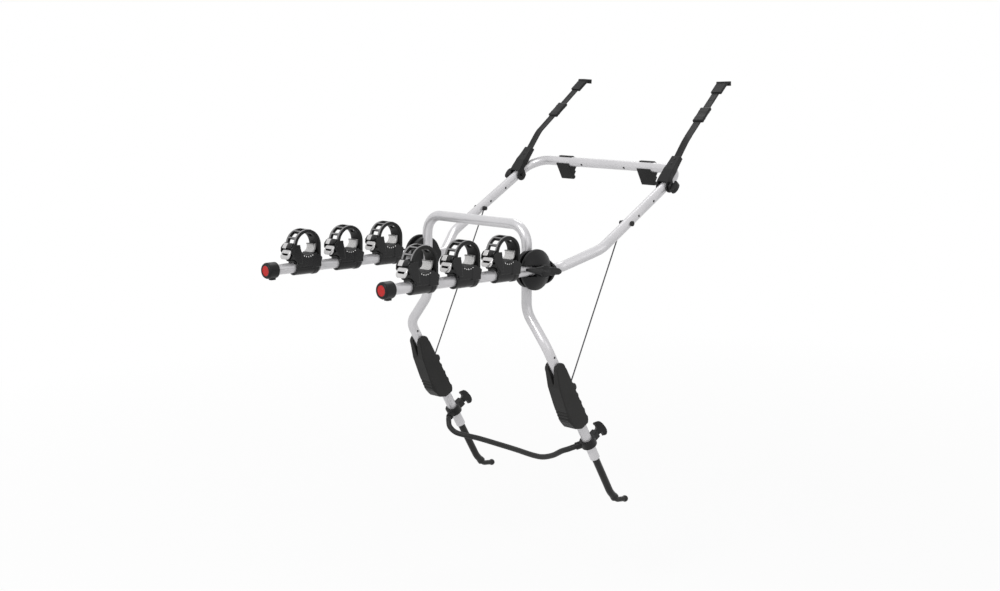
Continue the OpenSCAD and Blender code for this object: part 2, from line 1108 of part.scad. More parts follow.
module cradle_strap() {
    color(rubber)
        difference() {
            union() {
                translate([0, loop_y, loop_z])
                    rotate([90, 0, 90])
                        translate([0, 0, -strap_w / 2])
                            rotate_extrude(angle = 180)
                                translate([strap_r, 0])
                                    square([strap_t, strap_w]);
                translate([-strap_w / 2, loop_y + strap_r, root_z])
                    cube([strap_w, strap_t, loop_z - root_z]);
                translate([-strap_w / 2, loop_y - strap_out, tail_z])
                    cube([strap_w, strap_t, loop_z - tail_z]);
                translate([0, root_y, root_z])
                    x_pin(-strap_w / 2, strap_w / 2, eye_r);
            }
            translate([0, root_y, root_z])
                x_pin(-strap_w, strap_w, pin_r + run_gap);
            for (i = [0 : slot_n - 1])
                strap_slot(slot_first + i * slot_step, slot_w, slot_l);
            strap_slot(rear_slot_at, rear_slot_w, rear_slot_l);
        }
}

module left_outer_strap() {
    placed()
        left_side()
            on_cradle(0)
                cradle_strap();
}

module left_middle_strap() {
    placed()
        left_side()
            on_cradle(1)
                cradle_strap();
}

module left_inner_strap() {
    placed()
        left_side()
            on_cradle(2)
                cradle_strap();
}

module right_outer_strap() {
    placed()
        on_cradle(0)
            cradle_strap();
}

module right_middle_strap() {
    placed()
        on_cradle(1)
            cradle_strap();
}

module right_inner_strap() {
    placed()
        on_cradle(2)
            cradle_strap();
}

// buckle lever in front of the strap
module lever_2d() {
    half = lever_w / 2;
    difference() {
        polygon([[-half, 0], [half, 0], [half - 1, -lever_len + 6], [half - 6, -lever_len],
                 [6 - half, -lever_len], [1 - half, -lever_len + 6]]);
        translate([-lever_slot.x / 2, lever_slot_z - lever_slot.y / 2])
            square(lever_slot);
    }
}

module buckle_lever() {
    color(grey)
        translate([0, lever_y, lever_z])
            rotate([-lever_tilt, 0, 0])
                difference() {
                    union() {
                        x_pin(-lever_w / 2, lever_w / 2, lever_eye);
                        translate([0, lever_front + lever_t, 0])
                            rotate([90, 0, 0])
                                linear_extrude(height = lever_t)
                                    lever_2d();
                        translate([0, lever_front + lever_t / 2, -lever_len])
                            x_pin(6 - lever_w / 2, lever_w / 2 - 6, lever_lip);
                    }
                    x_pin(-lever_w, lever_w, pin_r + run_gap);
                }
}

module left_outer_lever() {
    placed()
        left_side()
            on_cradle(0)
                buckle_lever();
}

module left_middle_lever() {
    placed()
        left_side()
            on_cradle(1)
                buckle_lever();
}

module left_inner_lever() {
    placed()
        left_side()
            on_cradle(2)
                buckle_lever();
}

module right_outer_lever() {
    placed()
        on_cradle(0)
            buckle_lever();
}

module right_middle_lever() {
    placed()
        on_cradle(1)
            buckle_lever();
}

module right_inner_lever() {
    placed()
        on_cradle(2)
            buckle_lever();
}

// lower hook rod that slides in the leg, with a thinner hook at its end
module hook_rod() {
    knee = [0, 0, rod_knee];
    fall = [0, -sin(rod_turn), cos(rod_turn)];
    crook = knee + neck_knee * fall;
    toe = crook + neck_len * [0, -sin(neck_turn), cos(neck_turn)];
    color(rubber)
        on_leg() {
            bent_rod([[0, 0, rod_top], knee, knee + rod_end * fall], [rod_bend], rod_r, -core_step);
            bent_rod([knee + neck_from * fall, crook, toe], [neck_bend], neck_r, -core_step);
            translate([0, 0, rod_top])
                cylinder(r = tube_in - fit_gap, h = 22);
            translate(toe)
                sphere(r = toe_r);
        }
}

module left_hook_rod() {
    placed()
        left_side()
            hook_rod();
}

module right_hook_rod() {
    placed()
        hook_rod();
}

// screw with a cross handle in the clamp collar
module clamp_knob(bar_turn) {
    color(black)
        on_leg()
            translate([0, 0, clamp_s])
                rotate([90, 0, 0]) {
                    translate([0, 0, tube_r - tube_wall])
                        cylinder(r = screw_r, h = -tknob_n - tube_r + tube_wall);
                    translate([0, 0, -ear_n + 1.5])
                        cylinder(r = 8, h = -tknob_n + ear_n + 4);
                    translate([0, 0, -tknob_n + 4])
                        for (turn = [90, -90])
                            rotate([turn, 0, bar_turn])
                                cylinder(r1 = tbar_neck, r2 = tbar_r, h = tbar_len / 2);
                }
}

module left_clamp_knob() {
    placed()
        left_side()
            clamp_knob(tbar_turn);
}

module right_clamp_knob() {
    placed()
        clamp_knob(-tbar_turn);
}

// strap hook: clip on the upper frame, band and hook
module strap_clip() {
    color(black)
        on_clip()
            difference() {
                union() {
                    for (x = [clip_in, -clip_half])
                        translate([x, 0, 0])
                            rotate([90, 0, 90])
                                linear_extrude(height = clip_half - clip_in) {
                                    circle(r = -clip_low);
                                    polygon([[0, clip_low], [10, clip_low + 1], [46, band_b - 6], [clip_end, band_b - 6],
                                             [clip_end, clip_top - 6], [40, clip_top], [0, clip_top]]);
                                }
                    translate([-clip_half, clip_start, clip_wall])
                        cube([2 * clip_half, 40 - clip_start, clip_top - clip_wall]);
                    side_plate(2 * clip_half)
                        polygon([[39, clip_wall], [39, clip_top], [40, clip_top], [clip_end, clip_top - 6],
                                 [clip_end, band_b + band_t / 2 + 0.1], [50, band_b + band_t / 2 + 0.1]]);
                    side_plate(2 * clip_half)
                        polygon([[62, band_b - band_t / 2 - 0.1], [clip_end, band_b - band_t / 2 - 0.1],
                                 [clip_end, band_b - 6], [62, band_b - 6]]);
                }
                x_pin(-2 * clip_half, 2 * clip_half, clip_bolt_r + run_gap);
            }
}

module left_strap_clip() {
    placed()
        left_side()
            strap_clip();
}

module right_strap_clip() {
    placed()
        strap_clip();
}

// bands are joined to their bend by a slightly thicker strip
module band_run(y0, y1) {
    translate([-band_w / 2, y0, -band_t / 2])
        cube([band_w, y1 - y0, band_t]);
}

module band_joint(y) {
    translate([-band_w / 2 - strip_rise, y - band_core / 2, -band_t / 2 - strip_rise])
        cube([band_w + 2 * strip_rise, band_core, band_t + 2 * strip_rise]);
}

module hook_band() {
    t = band_bend * tan(band_turn / 2);
    color(rubber) {
        on_clip()
            translate([0, 0, band_b]) {
                band_run(band_a0, band_knee - t - seam);
                band_joint(band_knee - t);
                translate([-band_w / 2, band_knee - t, -band_bend])
                    rotate([90, 0, 90])
                        rotate([0, 0, 90 - band_turn])
                            rotate_extrude(angle = band_turn)
                                translate([band_bend - band_t / 2, 0])
                                    square([band_t, band_w]);
            }
        on_band() {
            band_joint(t);
            band_run(t + seam, band_end);
            translate([-pad_half, band_pad0, -pad_t / 2])
                cube([2 * pad_half, band_pad1 - band_pad0, pad_t]);
        }
    }
}

module left_hook_band() {
    placed()
        left_side()
            hook_band();
}

module right_hook_band() {
    placed()
        hook_band();
}

module top_hook() {
    slope = hook_l1 - hook_l0;
    color(rubber)
        on_band()
            difference() {
                union() {
                    translate([hook_step - hook_half, hook_l0, -hook_t / 2])
                        cube([2 * (hook_half - hook_step), slope, hook_t]);
                    translate([0, hook_l1 + hook_set, hook_t / 2 + seam])
                        rotate([-band_fall, 0, 0])
                            side_plate(2 * hook_half)
                                polygon([[-6, -hook_t], [-4, 0], [hook_flat, 0], [hook_flat, -hook_lip],
                                         [hook_flat - 4, -hook_lip], [hook_flat - 5, -5], [0, -6]]);
                }
                translate([-band_w / 2 - 0.1, hook_l0 - over, -band_t / 2 - 0.1])
                    cube([band_w + 0.2, band_end - hook_l0 + over + 0.1, band_t + 0.2]);
            }
}

module left_top_hook() {
    placed()
        left_side()
            top_hook();
}

module right_top_hook() {
    placed()
        top_hook();
}

module clip_knob() {
    color(black)
        on_clip() {
            x_pin(-clip_half - 5, clip_knob_x0 + over, clip_bolt_r);
            x_pin(clip_knob_x0, clip_knob_x0 + clip_knob_len, clip_knob_r);
            for (i = [0 : 2])
                rotate([120 * i + 30, 0, 0])
                    translate([0, lobe_at, 0])
                        x_pin(clip_knob_x0 + 8, clip_knob_x0 + clip_knob_len, lobe_r);
        }
}

module left_clip_knob() {
    placed()
        left_side()
            clip_knob();
}

module right_clip_knob() {
    placed()
        clip_knob();
}

lower_frame();
left_hub_base();
right_hub_base();
hub_bolts();
left_grip();
right_grip();
left_leg_clamp();
right_leg_clamp();
hose();
upper_frame();
left_hub_collar();
right_hub_collar();
crossbar_pads();
wire_bolts();
wires();
left_arm();
right_arm();
left_end_cap();
right_end_cap();
left_reflector();
right_reflector();
left_hub_cover();
right_hub_cover();
left_cradle_pads();
right_cradle_pads();
left_cradle_pins();
right_cradle_pins();
left_outer_cradle();
left_middle_cradle();
left_inner_cradle();
right_outer_cradle();
right_middle_cradle();
right_inner_cradle();
left_outer_strap();
left_middle_strap();
left_inner_strap();
right_outer_strap();
right_middle_strap();
right_inner_strap();
left_outer_lever();
left_middle_lever();
left_inner_lever();
right_outer_lever();
right_middle_lever();
right_inner_lever();
left_hub_knob();
right_hub_knob();
left_hook_rod();
right_hook_rod();
left_clamp_knob();
right_clamp_knob();
left_strap_clip();
right_strap_clip();
left_hook_band();
right_hook_band();
left_top_hook();
right_top_hook();
left_clip_knob();
right_clip_knob();
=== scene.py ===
import json
import math

import bmesh
import bpy
from mathutils import Matrix, Vector


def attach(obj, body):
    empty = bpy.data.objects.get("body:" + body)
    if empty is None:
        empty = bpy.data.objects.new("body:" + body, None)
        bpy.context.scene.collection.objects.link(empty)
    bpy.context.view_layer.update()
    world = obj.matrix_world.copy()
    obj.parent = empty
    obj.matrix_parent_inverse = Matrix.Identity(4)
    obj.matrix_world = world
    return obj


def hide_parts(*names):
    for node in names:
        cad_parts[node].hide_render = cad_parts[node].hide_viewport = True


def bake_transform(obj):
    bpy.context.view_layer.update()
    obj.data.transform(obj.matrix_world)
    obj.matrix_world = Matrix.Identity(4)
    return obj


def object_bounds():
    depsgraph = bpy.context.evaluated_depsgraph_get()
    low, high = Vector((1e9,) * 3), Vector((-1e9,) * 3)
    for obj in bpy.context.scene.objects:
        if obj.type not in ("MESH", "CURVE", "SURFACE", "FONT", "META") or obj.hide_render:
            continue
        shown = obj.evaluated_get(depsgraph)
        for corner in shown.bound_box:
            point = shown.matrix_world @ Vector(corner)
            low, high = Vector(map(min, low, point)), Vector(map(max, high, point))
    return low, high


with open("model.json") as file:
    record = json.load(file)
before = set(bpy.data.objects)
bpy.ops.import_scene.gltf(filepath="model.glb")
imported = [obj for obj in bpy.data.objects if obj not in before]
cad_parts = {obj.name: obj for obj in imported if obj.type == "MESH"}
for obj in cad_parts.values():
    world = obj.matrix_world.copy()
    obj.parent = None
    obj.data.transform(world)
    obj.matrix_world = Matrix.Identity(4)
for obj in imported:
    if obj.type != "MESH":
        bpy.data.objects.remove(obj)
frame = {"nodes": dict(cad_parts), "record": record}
cad_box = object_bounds()

# Frames: the rack is laid out in millimetres round the hub axis, like its source
ROW = Matrix.Scale(0.001, 4) @ Matrix.Translation((0.0, -675.2185, -424.1642))
LEFT = Matrix.Scale(-1.0, 4, (1.0, 0.0, 0.0))
SIDES = {"left": LEFT, "right": Matrix.Identity(4)}
LEAN = 30.5
RISE = 29.1
BAND_RISE = 51.0
BAND_TURN = 12.0
TOE_IN = 4.0
ARM_RISE = 0.75


def turned(degrees):
    return Matrix.Rotation(math.radians(degrees), 4, "X")


ON_LEG = Matrix.Translation((240.0, 0.0, -184.0)) @ turned(180.0 + LEAN)
ON_UPPER = Matrix.Translation((257.0, 174.0, 38.0)) @ turned(RISE)
CLIP_AT = ON_UPPER @ Vector((0.0, 279.0, 0.0))
ON_CLIP = Matrix.Translation(CLIP_AT) @ turned(BAND_RISE)
BEND_AT, BEND_R, BAND_Z = 143.0, 120.0, 6.0
ON_BAND = (ON_CLIP @ Matrix.Translation((0.0, BEND_AT, BAND_Z)) @ turned(-BAND_TURN)
           @ Matrix.Rotation(math.radians(TOE_IN), 4, "Z"))
ON_ARM = turned(-ARM_RISE)
CRADLES = {"outer": -366.0, "middle": -236.0, "inner": -106.0}
ARM_X = 204.0


def on_cradle(place):
    return ON_ARM @ Matrix.Translation((ARM_X, CRADLES[place], 0.0))


# Camera, at the photograph's angle
LENS_MM = 52.11
EYE_AT = Vector((2509.5, -2479.15, 506.11))
EYE_RIGHT = Vector((0.71484, 0.69929, 0.0))
EYE_UP = Vector((-0.11566, 0.11823, 0.98623))


def set_camera():
    data = bpy.data.cameras.new("camera")
    data.sensor_width = 36.0
    data.lens = LENS_MM
    data.clip_end = 60.0
    camera = bpy.data.objects.new("camera", data)
    bpy.context.scene.collection.objects.link(camera)
    back = EYE_RIGHT.cross(EYE_UP)
    spin = Matrix((EYE_RIGHT, EYE_UP, back)).transposed().to_4x4()
    camera.matrix_world = Matrix.Translation(ROW @ EYE_AT) @ spin
    bpy.context.scene.camera = camera


set_camera()


# Materials
def shader(name):
    material = bpy.data.materials.new(name)
    material.use_nodes = True
    tree = material.node_tree
    surface = tree.nodes["Principled BSDF"]
    place = tree.nodes.new("ShaderNodeTexCoord").outputs["Object"]
    return material, tree, surface, place


def grain(tree, place, scale, detail=3.0, stretch=None):
    source = place
    if stretch:
        mapping = tree.nodes.new("ShaderNodeMapping")
        mapping.inputs["Scale"].default_value = stretch
        tree.links.new(place, mapping.inputs["Vector"])
        source = mapping.outputs["Vector"]
    noise = tree.nodes.new("ShaderNodeTexNoise")
    noise.inputs["Scale"].default_value = scale
    noise.inputs["Detail"].default_value = detail
    tree.links.new(source, noise.inputs["Vector"])
    return noise.outputs["Fac"]


def spread(tree, value, low, high):
    node = tree.nodes.new("ShaderNodeMapRange")
    node.inputs["From Min"].default_value = 0.3
    node.inputs["From Max"].default_value = 0.7
    node.inputs["To Min"].default_value = low
    node.inputs["To Max"].default_value = high
    tree.links.new(value, node.inputs["Value"])
    return node.outputs["Result"]


def tint(tree, value, dark, light):
    ramp = tree.nodes.new("ShaderNodeValToRGB")
    ramp.color_ramp.elements[0].position = 0.3
    ramp.color_ramp.elements[0].color = (*dark, 1.0)
    ramp.color_ramp.elements[1].position = 0.7
    ramp.color_ramp.elements[1].color = (*light, 1.0)
    tree.links.new(value, ramp.inputs["Fac"])
    return ramp.outputs["Color"]


def relief(tree, surface, value, strength, depth):
    bump = tree.nodes.new("ShaderNodeBump")
    bump.inputs["Strength"].default_value = strength
    bump.inputs["Distance"].default_value = depth
    tree.links.new(value, bump.inputs["Height"])
    tree.links.new(bump.outputs["Normal"], surface.inputs["Normal"])


def finish(name, dark, light, rough, scale, metallic=0.0, bump=0.15, depth=0.0003, stretch=None,
           coat=0.0, sheen=0.0, specular=0.5):
    material, tree, surface, place = shader(name)
    broad = grain(tree, place, 14.0)
    fine = grain(tree, place, scale, stretch=stretch)
    tree.links.new(tint(tree, broad, dark, light), surface.inputs["Base Color"])
    tree.links.new(spread(tree, fine, rough[0], rough[1]), surface.inputs["Roughness"])
    relief(tree, surface, fine, bump, depth)
    surface.inputs["Metallic"].default_value = metallic
    surface.inputs["Coat Weight"].default_value = coat
    surface.inputs["Coat Roughness"].default_value = 0.2
    surface.inputs["Sheen Weight"].default_value = sheen
    surface.inputs["Specular IOR Level"].default_value = specular
    return material


SILVER = finish("silver_paint", (0.58, 0.575, 0.59), (0.64, 0.63, 0.645), (0.26, 0.36), 1600.0,
                metallic=0.4, bump=0.03, depth=0.00004, coat=0.25, specular=0.3)
STEEL = finish("bare_steel", (0.42, 0.42, 0.43), (0.52, 0.52, 0.53), (0.22, 0.38), 700.0,
               metallic=1.0, bump=0.1, depth=0.00005)
WIRE = finish("wire_steel", (0.045, 0.045, 0.048), (0.075, 0.075, 0.08), (0.35, 0.5), 900.0,
              metallic=0.5, bump=0.2, depth=0.0001, specular=0.3)
BRASS = finish("screw_brass", (0.45, 0.34, 0.13), (0.60, 0.48, 0.20), (0.25, 0.4), 800.0,
               metallic=1.0, bump=0.1, depth=0.00005)
PIN = finish("pin_steel", (0.020, 0.020, 0.021), (0.035, 0.035, 0.036), (0.3, 0.45), 700.0,
             metallic=0.6, bump=0.1, depth=0.00005)
BUCKLE = finish("buckle_metal", (0.50, 0.495, 0.495), (0.64, 0.63, 0.63), (0.16, 0.3), 500.0,
                metallic=0.85, bump=0.12, depth=0.0001, stretch=(8.0, 1.0, 1.0))
# Grey over the black strap's outer face: painted reflection standing in for the lamps' sheen on the strap.
PAINTED_SHEEN = finish("painted_sheen_facing", (0.15, 0.148, 0.15), (0.25, 0.245, 0.25), (0.26, 0.4), 900.0,
                metallic=0.4, bump=0.1, depth=0.0001)
SEAT = finish("seat_plastic", (0.0045, 0.0045, 0.005), (0.009, 0.009, 0.0092), (0.2, 0.32), 1200.0,
              bump=0.15, depth=0.0001, specular=0.3)
PLASTIC = finish("black_plastic", (0.006, 0.006, 0.0065), (0.011, 0.011, 0.0115), (0.36, 0.5), 1400.0,
                 bump=0.25, depth=0.00012, specular=0.24)
GRIP = finish("grip_plastic", (0.008, 0.008, 0.0075), (0.014, 0.0135, 0.013), (0.42, 0.56), 1100.0,
              bump=0.35, depth=0.00018, specular=0.26)
COATING = finish("hook_coating", (0.008, 0.008, 0.0078), (0.015, 0.0145, 0.014), (0.3, 0.5), 500.0,
                 bump=0.3, depth=0.0003, specular=0.3)
RUBBER = finish("black_rubber", (0.007, 0.007, 0.007), (0.013, 0.013, 0.013), (0.5, 0.68), 800.0,
                bump=0.3, depth=0.0002, specular=0.25)
STRAP = finish("soft_black", (0.006, 0.006, 0.006), (0.011, 0.011, 0.011), (0.36, 0.52), 900.0,
               bump=0.2, depth=0.0002, specular=0.24)
STITCH = finish("band_stitches", (0.018, 0.018, 0.018), (0.035, 0.035, 0.035), (0.6, 0.8), 2400.0,
                bump=0.3, depth=0.0001, specular=0.2)
HOSE = finish("hose_rubber", (0.014, 0.014, 0.014), (0.024, 0.024, 0.024), (0.45, 0.62), 600.0,
              bump=0.4, depth=0.0003, specular=0.25)
PAD = finish("grey_rubber", (0.52, 0.515, 0.51), (0.66, 0.65, 0.645), (0.2, 0.32), 900.0,
             metallic=0.6, bump=0.04, depth=0.00005)
# Dark grey of the pads' top rims: painted shade under the rolled edge.
SHADE_RIM = finish("painted_shade_rim", (0.10, 0.10, 0.10), (0.17, 0.168, 0.166), (0.3, 0.45), 900.0,
             metallic=0.2, bump=0.15, depth=0.0001)
LENS = finish("red_lens", (0.42, 0.009, 0.008), (0.58, 0.015, 0.012), (0.12, 0.22), 300.0,
              bump=0.05, depth=0.0001, coat=0.1, specular=0.25)
SLOTS = {"silver_paint": SILVER, "bare_steel": STEEL, "black_steel": PLASTIC, "coated_steel": COATING,
         "red_lens": LENS, "buckle_metal": BUCKLE, "grey_rubber": PAD, "black_rubber": RUBBER,
         "soft_black": STRAP, "black_plastic": PLASTIC}


def dress_nodes():
    for part in frame["record"]["subparts"]:
        obj = frame["nodes"][part["node"]]
        obj.data.materials.clear()
        pins = part["node"].endswith("_cradle_pins")
        obj.data.materials.append(PIN if pins else SLOTS[part["material_slot"]])


dress_nodes()


# Mesh helpers
def baked(obj):
    bpy.context.view_layer.update()
    graph = bpy.context.evaluated_depsgraph_get()
    mesh = bpy.data.meshes.new_from_object(obj.evaluated_get(graph), depsgraph=graph)
    obj.modifiers.clear()
    old = obj.data
    obj.data = mesh
    mesh.name = obj.name
    bpy.data.meshes.remove(old)


def piece(name, bm, place, side, material, body, replaced=(), sharp=35.0):
    """Puts a mesh made in millimetres into the row frame as a finished piece on its body."""
    bm.transform(ROW @ SIDES[side] @ place)
    bmesh.ops.recalc_face_normals(bm, faces=bm.faces)
    mesh = bpy.data.meshes.new(name)
    bm.to_mesh(mesh)
    bm.free()
    obj = bpy.data.objects.new(name, mesh)
    bpy.context.scene.collection.objects.link(obj)
    mesh.materials.append(material)
    for face in mesh.polygons:
        face.use_smooth = True
    mesh.set_sharp_from_angle(angle=math.radians(sharp))
    settle(obj, body, replaced)
    return obj


def settle(obj, body, replaced=()):
    """States what a piece rides on and the CAD nodes that it stands for."""
    if body:
        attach(obj, body)
    if replaced:
        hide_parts(*replaced)


def slab(rows, cols, inner, outer, holes=(), bevel=0.6, segments=2, limit=38.0):
    """A closed plate over a grid of cells; inner and outer give its two faces, holes the cells left open."""
    bm = bmesh.new()
    low = [[bm.verts.new(inner(i, j)) for j in range(cols + 1)] for i in range(rows + 1)]
    top = [[bm.verts.new(outer(i, j)) for j in range(cols + 1)] for i in range(rows + 1)]
    gone = set(holes)

    def solid(i, j):
        return 0 <= i < rows and 0 <= j < cols and (i, j) not in gone

    def wall(a, b):
        bm.faces.new((low[a[0]][a[1]], low[b[0]][b[1]], top[b[0]][b[1]], top[a[0]][a[1]]))

    for i in range(rows):
        for j in range(cols):
            if not solid(i, j):
                continue
            cell = ((i, j), (i, j + 1), (i + 1, j + 1), (i + 1, j))
            bm.faces.new([top[a][b] for a, b in cell])
            bm.faces.new([low[a][b] for a, b in reversed(cell)])
            for (di, dj), k in (((-1, 0), 0), ((0, 1), 1), ((1, 0), 2), ((0, -1), 3)):
                if not solid(i + di, j + dj):
                    wall(cell[k], cell[(k + 1) % 4])
    spare = [v for v in bm.verts if not v.link_faces]
    bmesh.ops.delete(bm, geom=spare, context="VERTS")
    bmesh.ops.remove_doubles(bm, verts=bm.verts, dist=1e-4)
    bmesh.ops.recalc_face_normals(bm, faces=bm.faces)
    if bevel:
        soften(bm, bevel, segments, limit)
    return bm


def soften(bm, bevel, segments, limit):
    edges = [e for e in bm.edges if len(e.link_faces) == 2
             and e.calc_face_angle() > math.radians(limit)]
    bmesh.ops.bevel(bm, geom=edges, offset=bevel, segments=segments, profile=0.5,
                    affect="EDGES", clamp_overlap=True)


def turned_rows(bm, profile, steps, axis):
    """Circles of points round an axis, one for each (along, radius) pair."""
    rows = []
    for along, radius in profile:
        row = []
        for k in range(steps):
            a = 2.0 * math.pi * k / steps
            u, v = radius * math.cos(a), radius * math.sin(a)
            row.append(bm.verts.new({"X": (along, u, v), "Y": (v, along, u), "Z": (u, v, along)}[axis]))
        rows.append(row)
    return rows


def join_rows(bm, rows, following):
    for a, b in zip(rows, following):
        count = len(a)
        for k in range(count):
            bm.faces.new((a[k], a[(k + 1) % count], b[(k + 1) % count], b[k]))


def lathe(profile, steps=32, axis="X"):
    """A turned part from (along, radius) pairs, closed at both ends."""
    bm = bmesh.new()
    rows = turned_rows(bm, profile, steps, axis)
    join_rows(bm, rows, rows[1:])
    bm.faces.new(list(reversed(rows[0])))
    bm.faces.new(rows[-1])
    bmesh.ops.recalc_face_normals(bm, faces=bm.faces)
    return bm


def ring(profile, steps, axis):
    """A turned ring from a closed loop of (along, radius) pairs."""
    bm = bmesh.new()
    rows = turned_rows(bm, profile, steps, axis)
    join_rows(bm, rows, rows[1:] + rows[:1])
    bmesh.ops.recalc_face_normals(bm, faces=bm.faces)
    return bm


def plate(outline, low, high, bevel, segments=3, limit=30.0):
    """A flat outline in the Y-Z plane with a thickness along X and rounded edges."""
    bm = bmesh.new()
    near = [bm.verts.new((low, y, z)) for y, z in outline]
    far = [bm.verts.new((high, y, z)) for y, z in outline]
    bm.faces.new(near)
    bm.faces.new(list(reversed(far)))
    count = len(outline)
    for k in range(count):
        bm.faces.new((near[k], near[(k + 1) % count], far[(k + 1) % count], far[k]))
    bmesh.ops.recalc_face_normals(bm, faces=bm.faces)
    soften(bm, bevel, segments, limit)
    return bm


def joined(*parts):
    bm = bmesh.new()
    for part in parts:
        mesh = bpy.data.meshes.new("part")
        part.to_mesh(mesh)
        part.free()
        bm.from_mesh(mesh)
        bpy.data.meshes.remove(mesh)
    return bm


def moved(bm, matrix):
    bm.transform(matrix)
    return bm


def flowing(points, steps):
    """A smooth line through points, closely divided."""
    out = []
    last = len(points) - 1
    for i in range(last):
        p0 = points[max(i - 1, 0)]
        p1, p2 = points[i], points[i + 1]
        p3 = points[min(i + 2, last)]
        for k in range(steps):
            t = k / steps
            out.append(0.5 * ((2.0 * p1) + (p2 - p0) * t + (2.0 * p0 - 5.0 * p1 + 4.0 * p2 - p3) * t * t
                              + (3.0 * p1 - p0 - 3.0 * p2 + p3) * t * t * t))
    out.append(points[last].copy())
    return out


def tube(path, radius, sides):
    """A round tube along a path, closed at both ends; radius may follow the path."""
    bm = bmesh.new()
    rings = []
    normal = None
    last = len(path) - 1
    for i, point in enumerate(path):
        along = (path[min(i + 1, last)] - path[max(i - 1, 0)]).normalized()
        if normal is None:
            normal = along.orthogonal().normalized()
        normal = (normal - along * normal.dot(along)).normalized()
        across = along.cross(normal)
        r = radius(i) if callable(radius) else radius
        rings.append([bm.verts.new(point + r * (math.cos(2.0 * math.pi * k / sides) * normal
                                                + math.sin(2.0 * math.pi * k / sides) * across))
                      for k in range(sides)])
    join_rows(bm, rings, rings[1:])
    bm.faces.new(list(reversed(rings[0])))
    bm.faces.new(rings[-1])
    return bm


def cast(name, node, body, material, voxel=0.9, rounds=4, shape=None, place=None):
    """A moulded copy of a CAD node: its edges are rounded off as a casting's are.

    shape may draw its points in a little, in the millimetres of the frame that place gives."""
    bm = bmesh.new()
    bm.from_mesh(frame["nodes"][node].data)
    bmesh.ops.remove_doubles(bm, verts=bm.verts, dist=1e-6)
    mesh = bpy.data.meshes.new(name)
    bm.to_mesh(mesh)
    bm.free()
    obj = bpy.data.objects.new(name, mesh)
    bpy.context.scene.collection.objects.link(obj)
    remesh = obj.modifiers.new("remesh", "REMESH")
    remesh.mode = "VOXEL"
    remesh.voxel_size = voxel * 0.001
    even = obj.modifiers.new("even", "SMOOTH")
    even.factor = 0.5
    even.iterations = rounds
    thin = obj.modifiers.new("thin", "DECIMATE")
    thin.ratio = 0.35
    baked(obj)
    if shape:
        back = place.inverted()
        for vert in obj.data.vertices:
            vert.co = place @ shape(back @ vert.co)
    obj.data.materials.clear()
    obj.data.materials.append(material)
    for face in obj.data.polygons:
        face.use_smooth = True
    settle(obj, body, (node,))
    return obj


# Hose between the two clamp collars
HOSE_ROUTE = [(-221, 116, -467.5), (-215.5, 113, -477), (-207, 114, -485.5), (-197, 119, -493),
              (-184, 126, -497), (-163, 134, -499.5), (-129, 141, -501.5), (-64, 144, -504.5),
              (4, 142, -506), (63, 137, -507), (106, 131, -503), (148, 124, -489),
              (181, 119, -471), (202.5, 120, -461.5)]
HOSE_TURN = {"left": 20.0, "right": 45.0}
HOSE_D = 14.0
CLAMP_S = 300.0


def make_hose():
    ends = {}
    for side, flip in SIDES.items():
        a = math.radians(HOSE_TURN[side])
        ends[side] = [flip @ ON_LEG @ Vector((-n * math.sin(a), n * math.cos(a), CLAMP_S))
                      for n in (20.0, 33.0, 38.0)]
    points = ends["left"] + [Vector(p) for p in HOSE_ROUTE] + list(reversed(ends["right"]))
    path = [ROW @ p for p in flowing(points, 5)]
    bm = tube(path, HOSE_D * 0.0005, 20)
    bm.transform(ROW.inverted())
    obj = piece("hose_tube", bm, Matrix.Identity(4), "right", HOSE, "lower_frame", ("hose",),
                sharp=60.0)


make_hose()


# Cradle straps, their grey facings, which paint the sheen on the strap's face, buckles and pads
LOOP = (-7.0, 51.0)
STRAP_R, STRAP_T, STRAP_HALF = 32.0, 7.0, 18.0
ROOT = (28.5, 19.5)
EYE = 4.5
TAIL_Z = 46.0
LEVER_AT = Vector((0.0, -52.0, 43.0))
LEVER_TILT = 25.0
RUNGS = (100.0, 132.0, 164.0)
RUNG_L, RUNG_HALF = 15.0, 11.0
VENT_AT, VENT_L, VENT_HALF = 47.0, 12.0, 8.0


def loop_point(degrees, radius, x):
    a = math.radians(degrees)
    return Vector((x, LOOP[0] + radius * math.cos(a), LOOP[1] + radius * math.sin(a)))


def arc_marks(first, last, step, marks):
    """Angles from first to last that include every mark, no further apart than step."""
    edges = sorted({first, last, *marks})
    out = []
    for a, b in zip(edges, edges[1:]):
        n = max(1, math.ceil((b - a) / step))
        out += [a + (b - a) * k / n for k in range(n)]
    return out + [last]


def span(at, length, radius):
    half = math.degrees(length / 2.0 / radius)
    return at - half, at + half


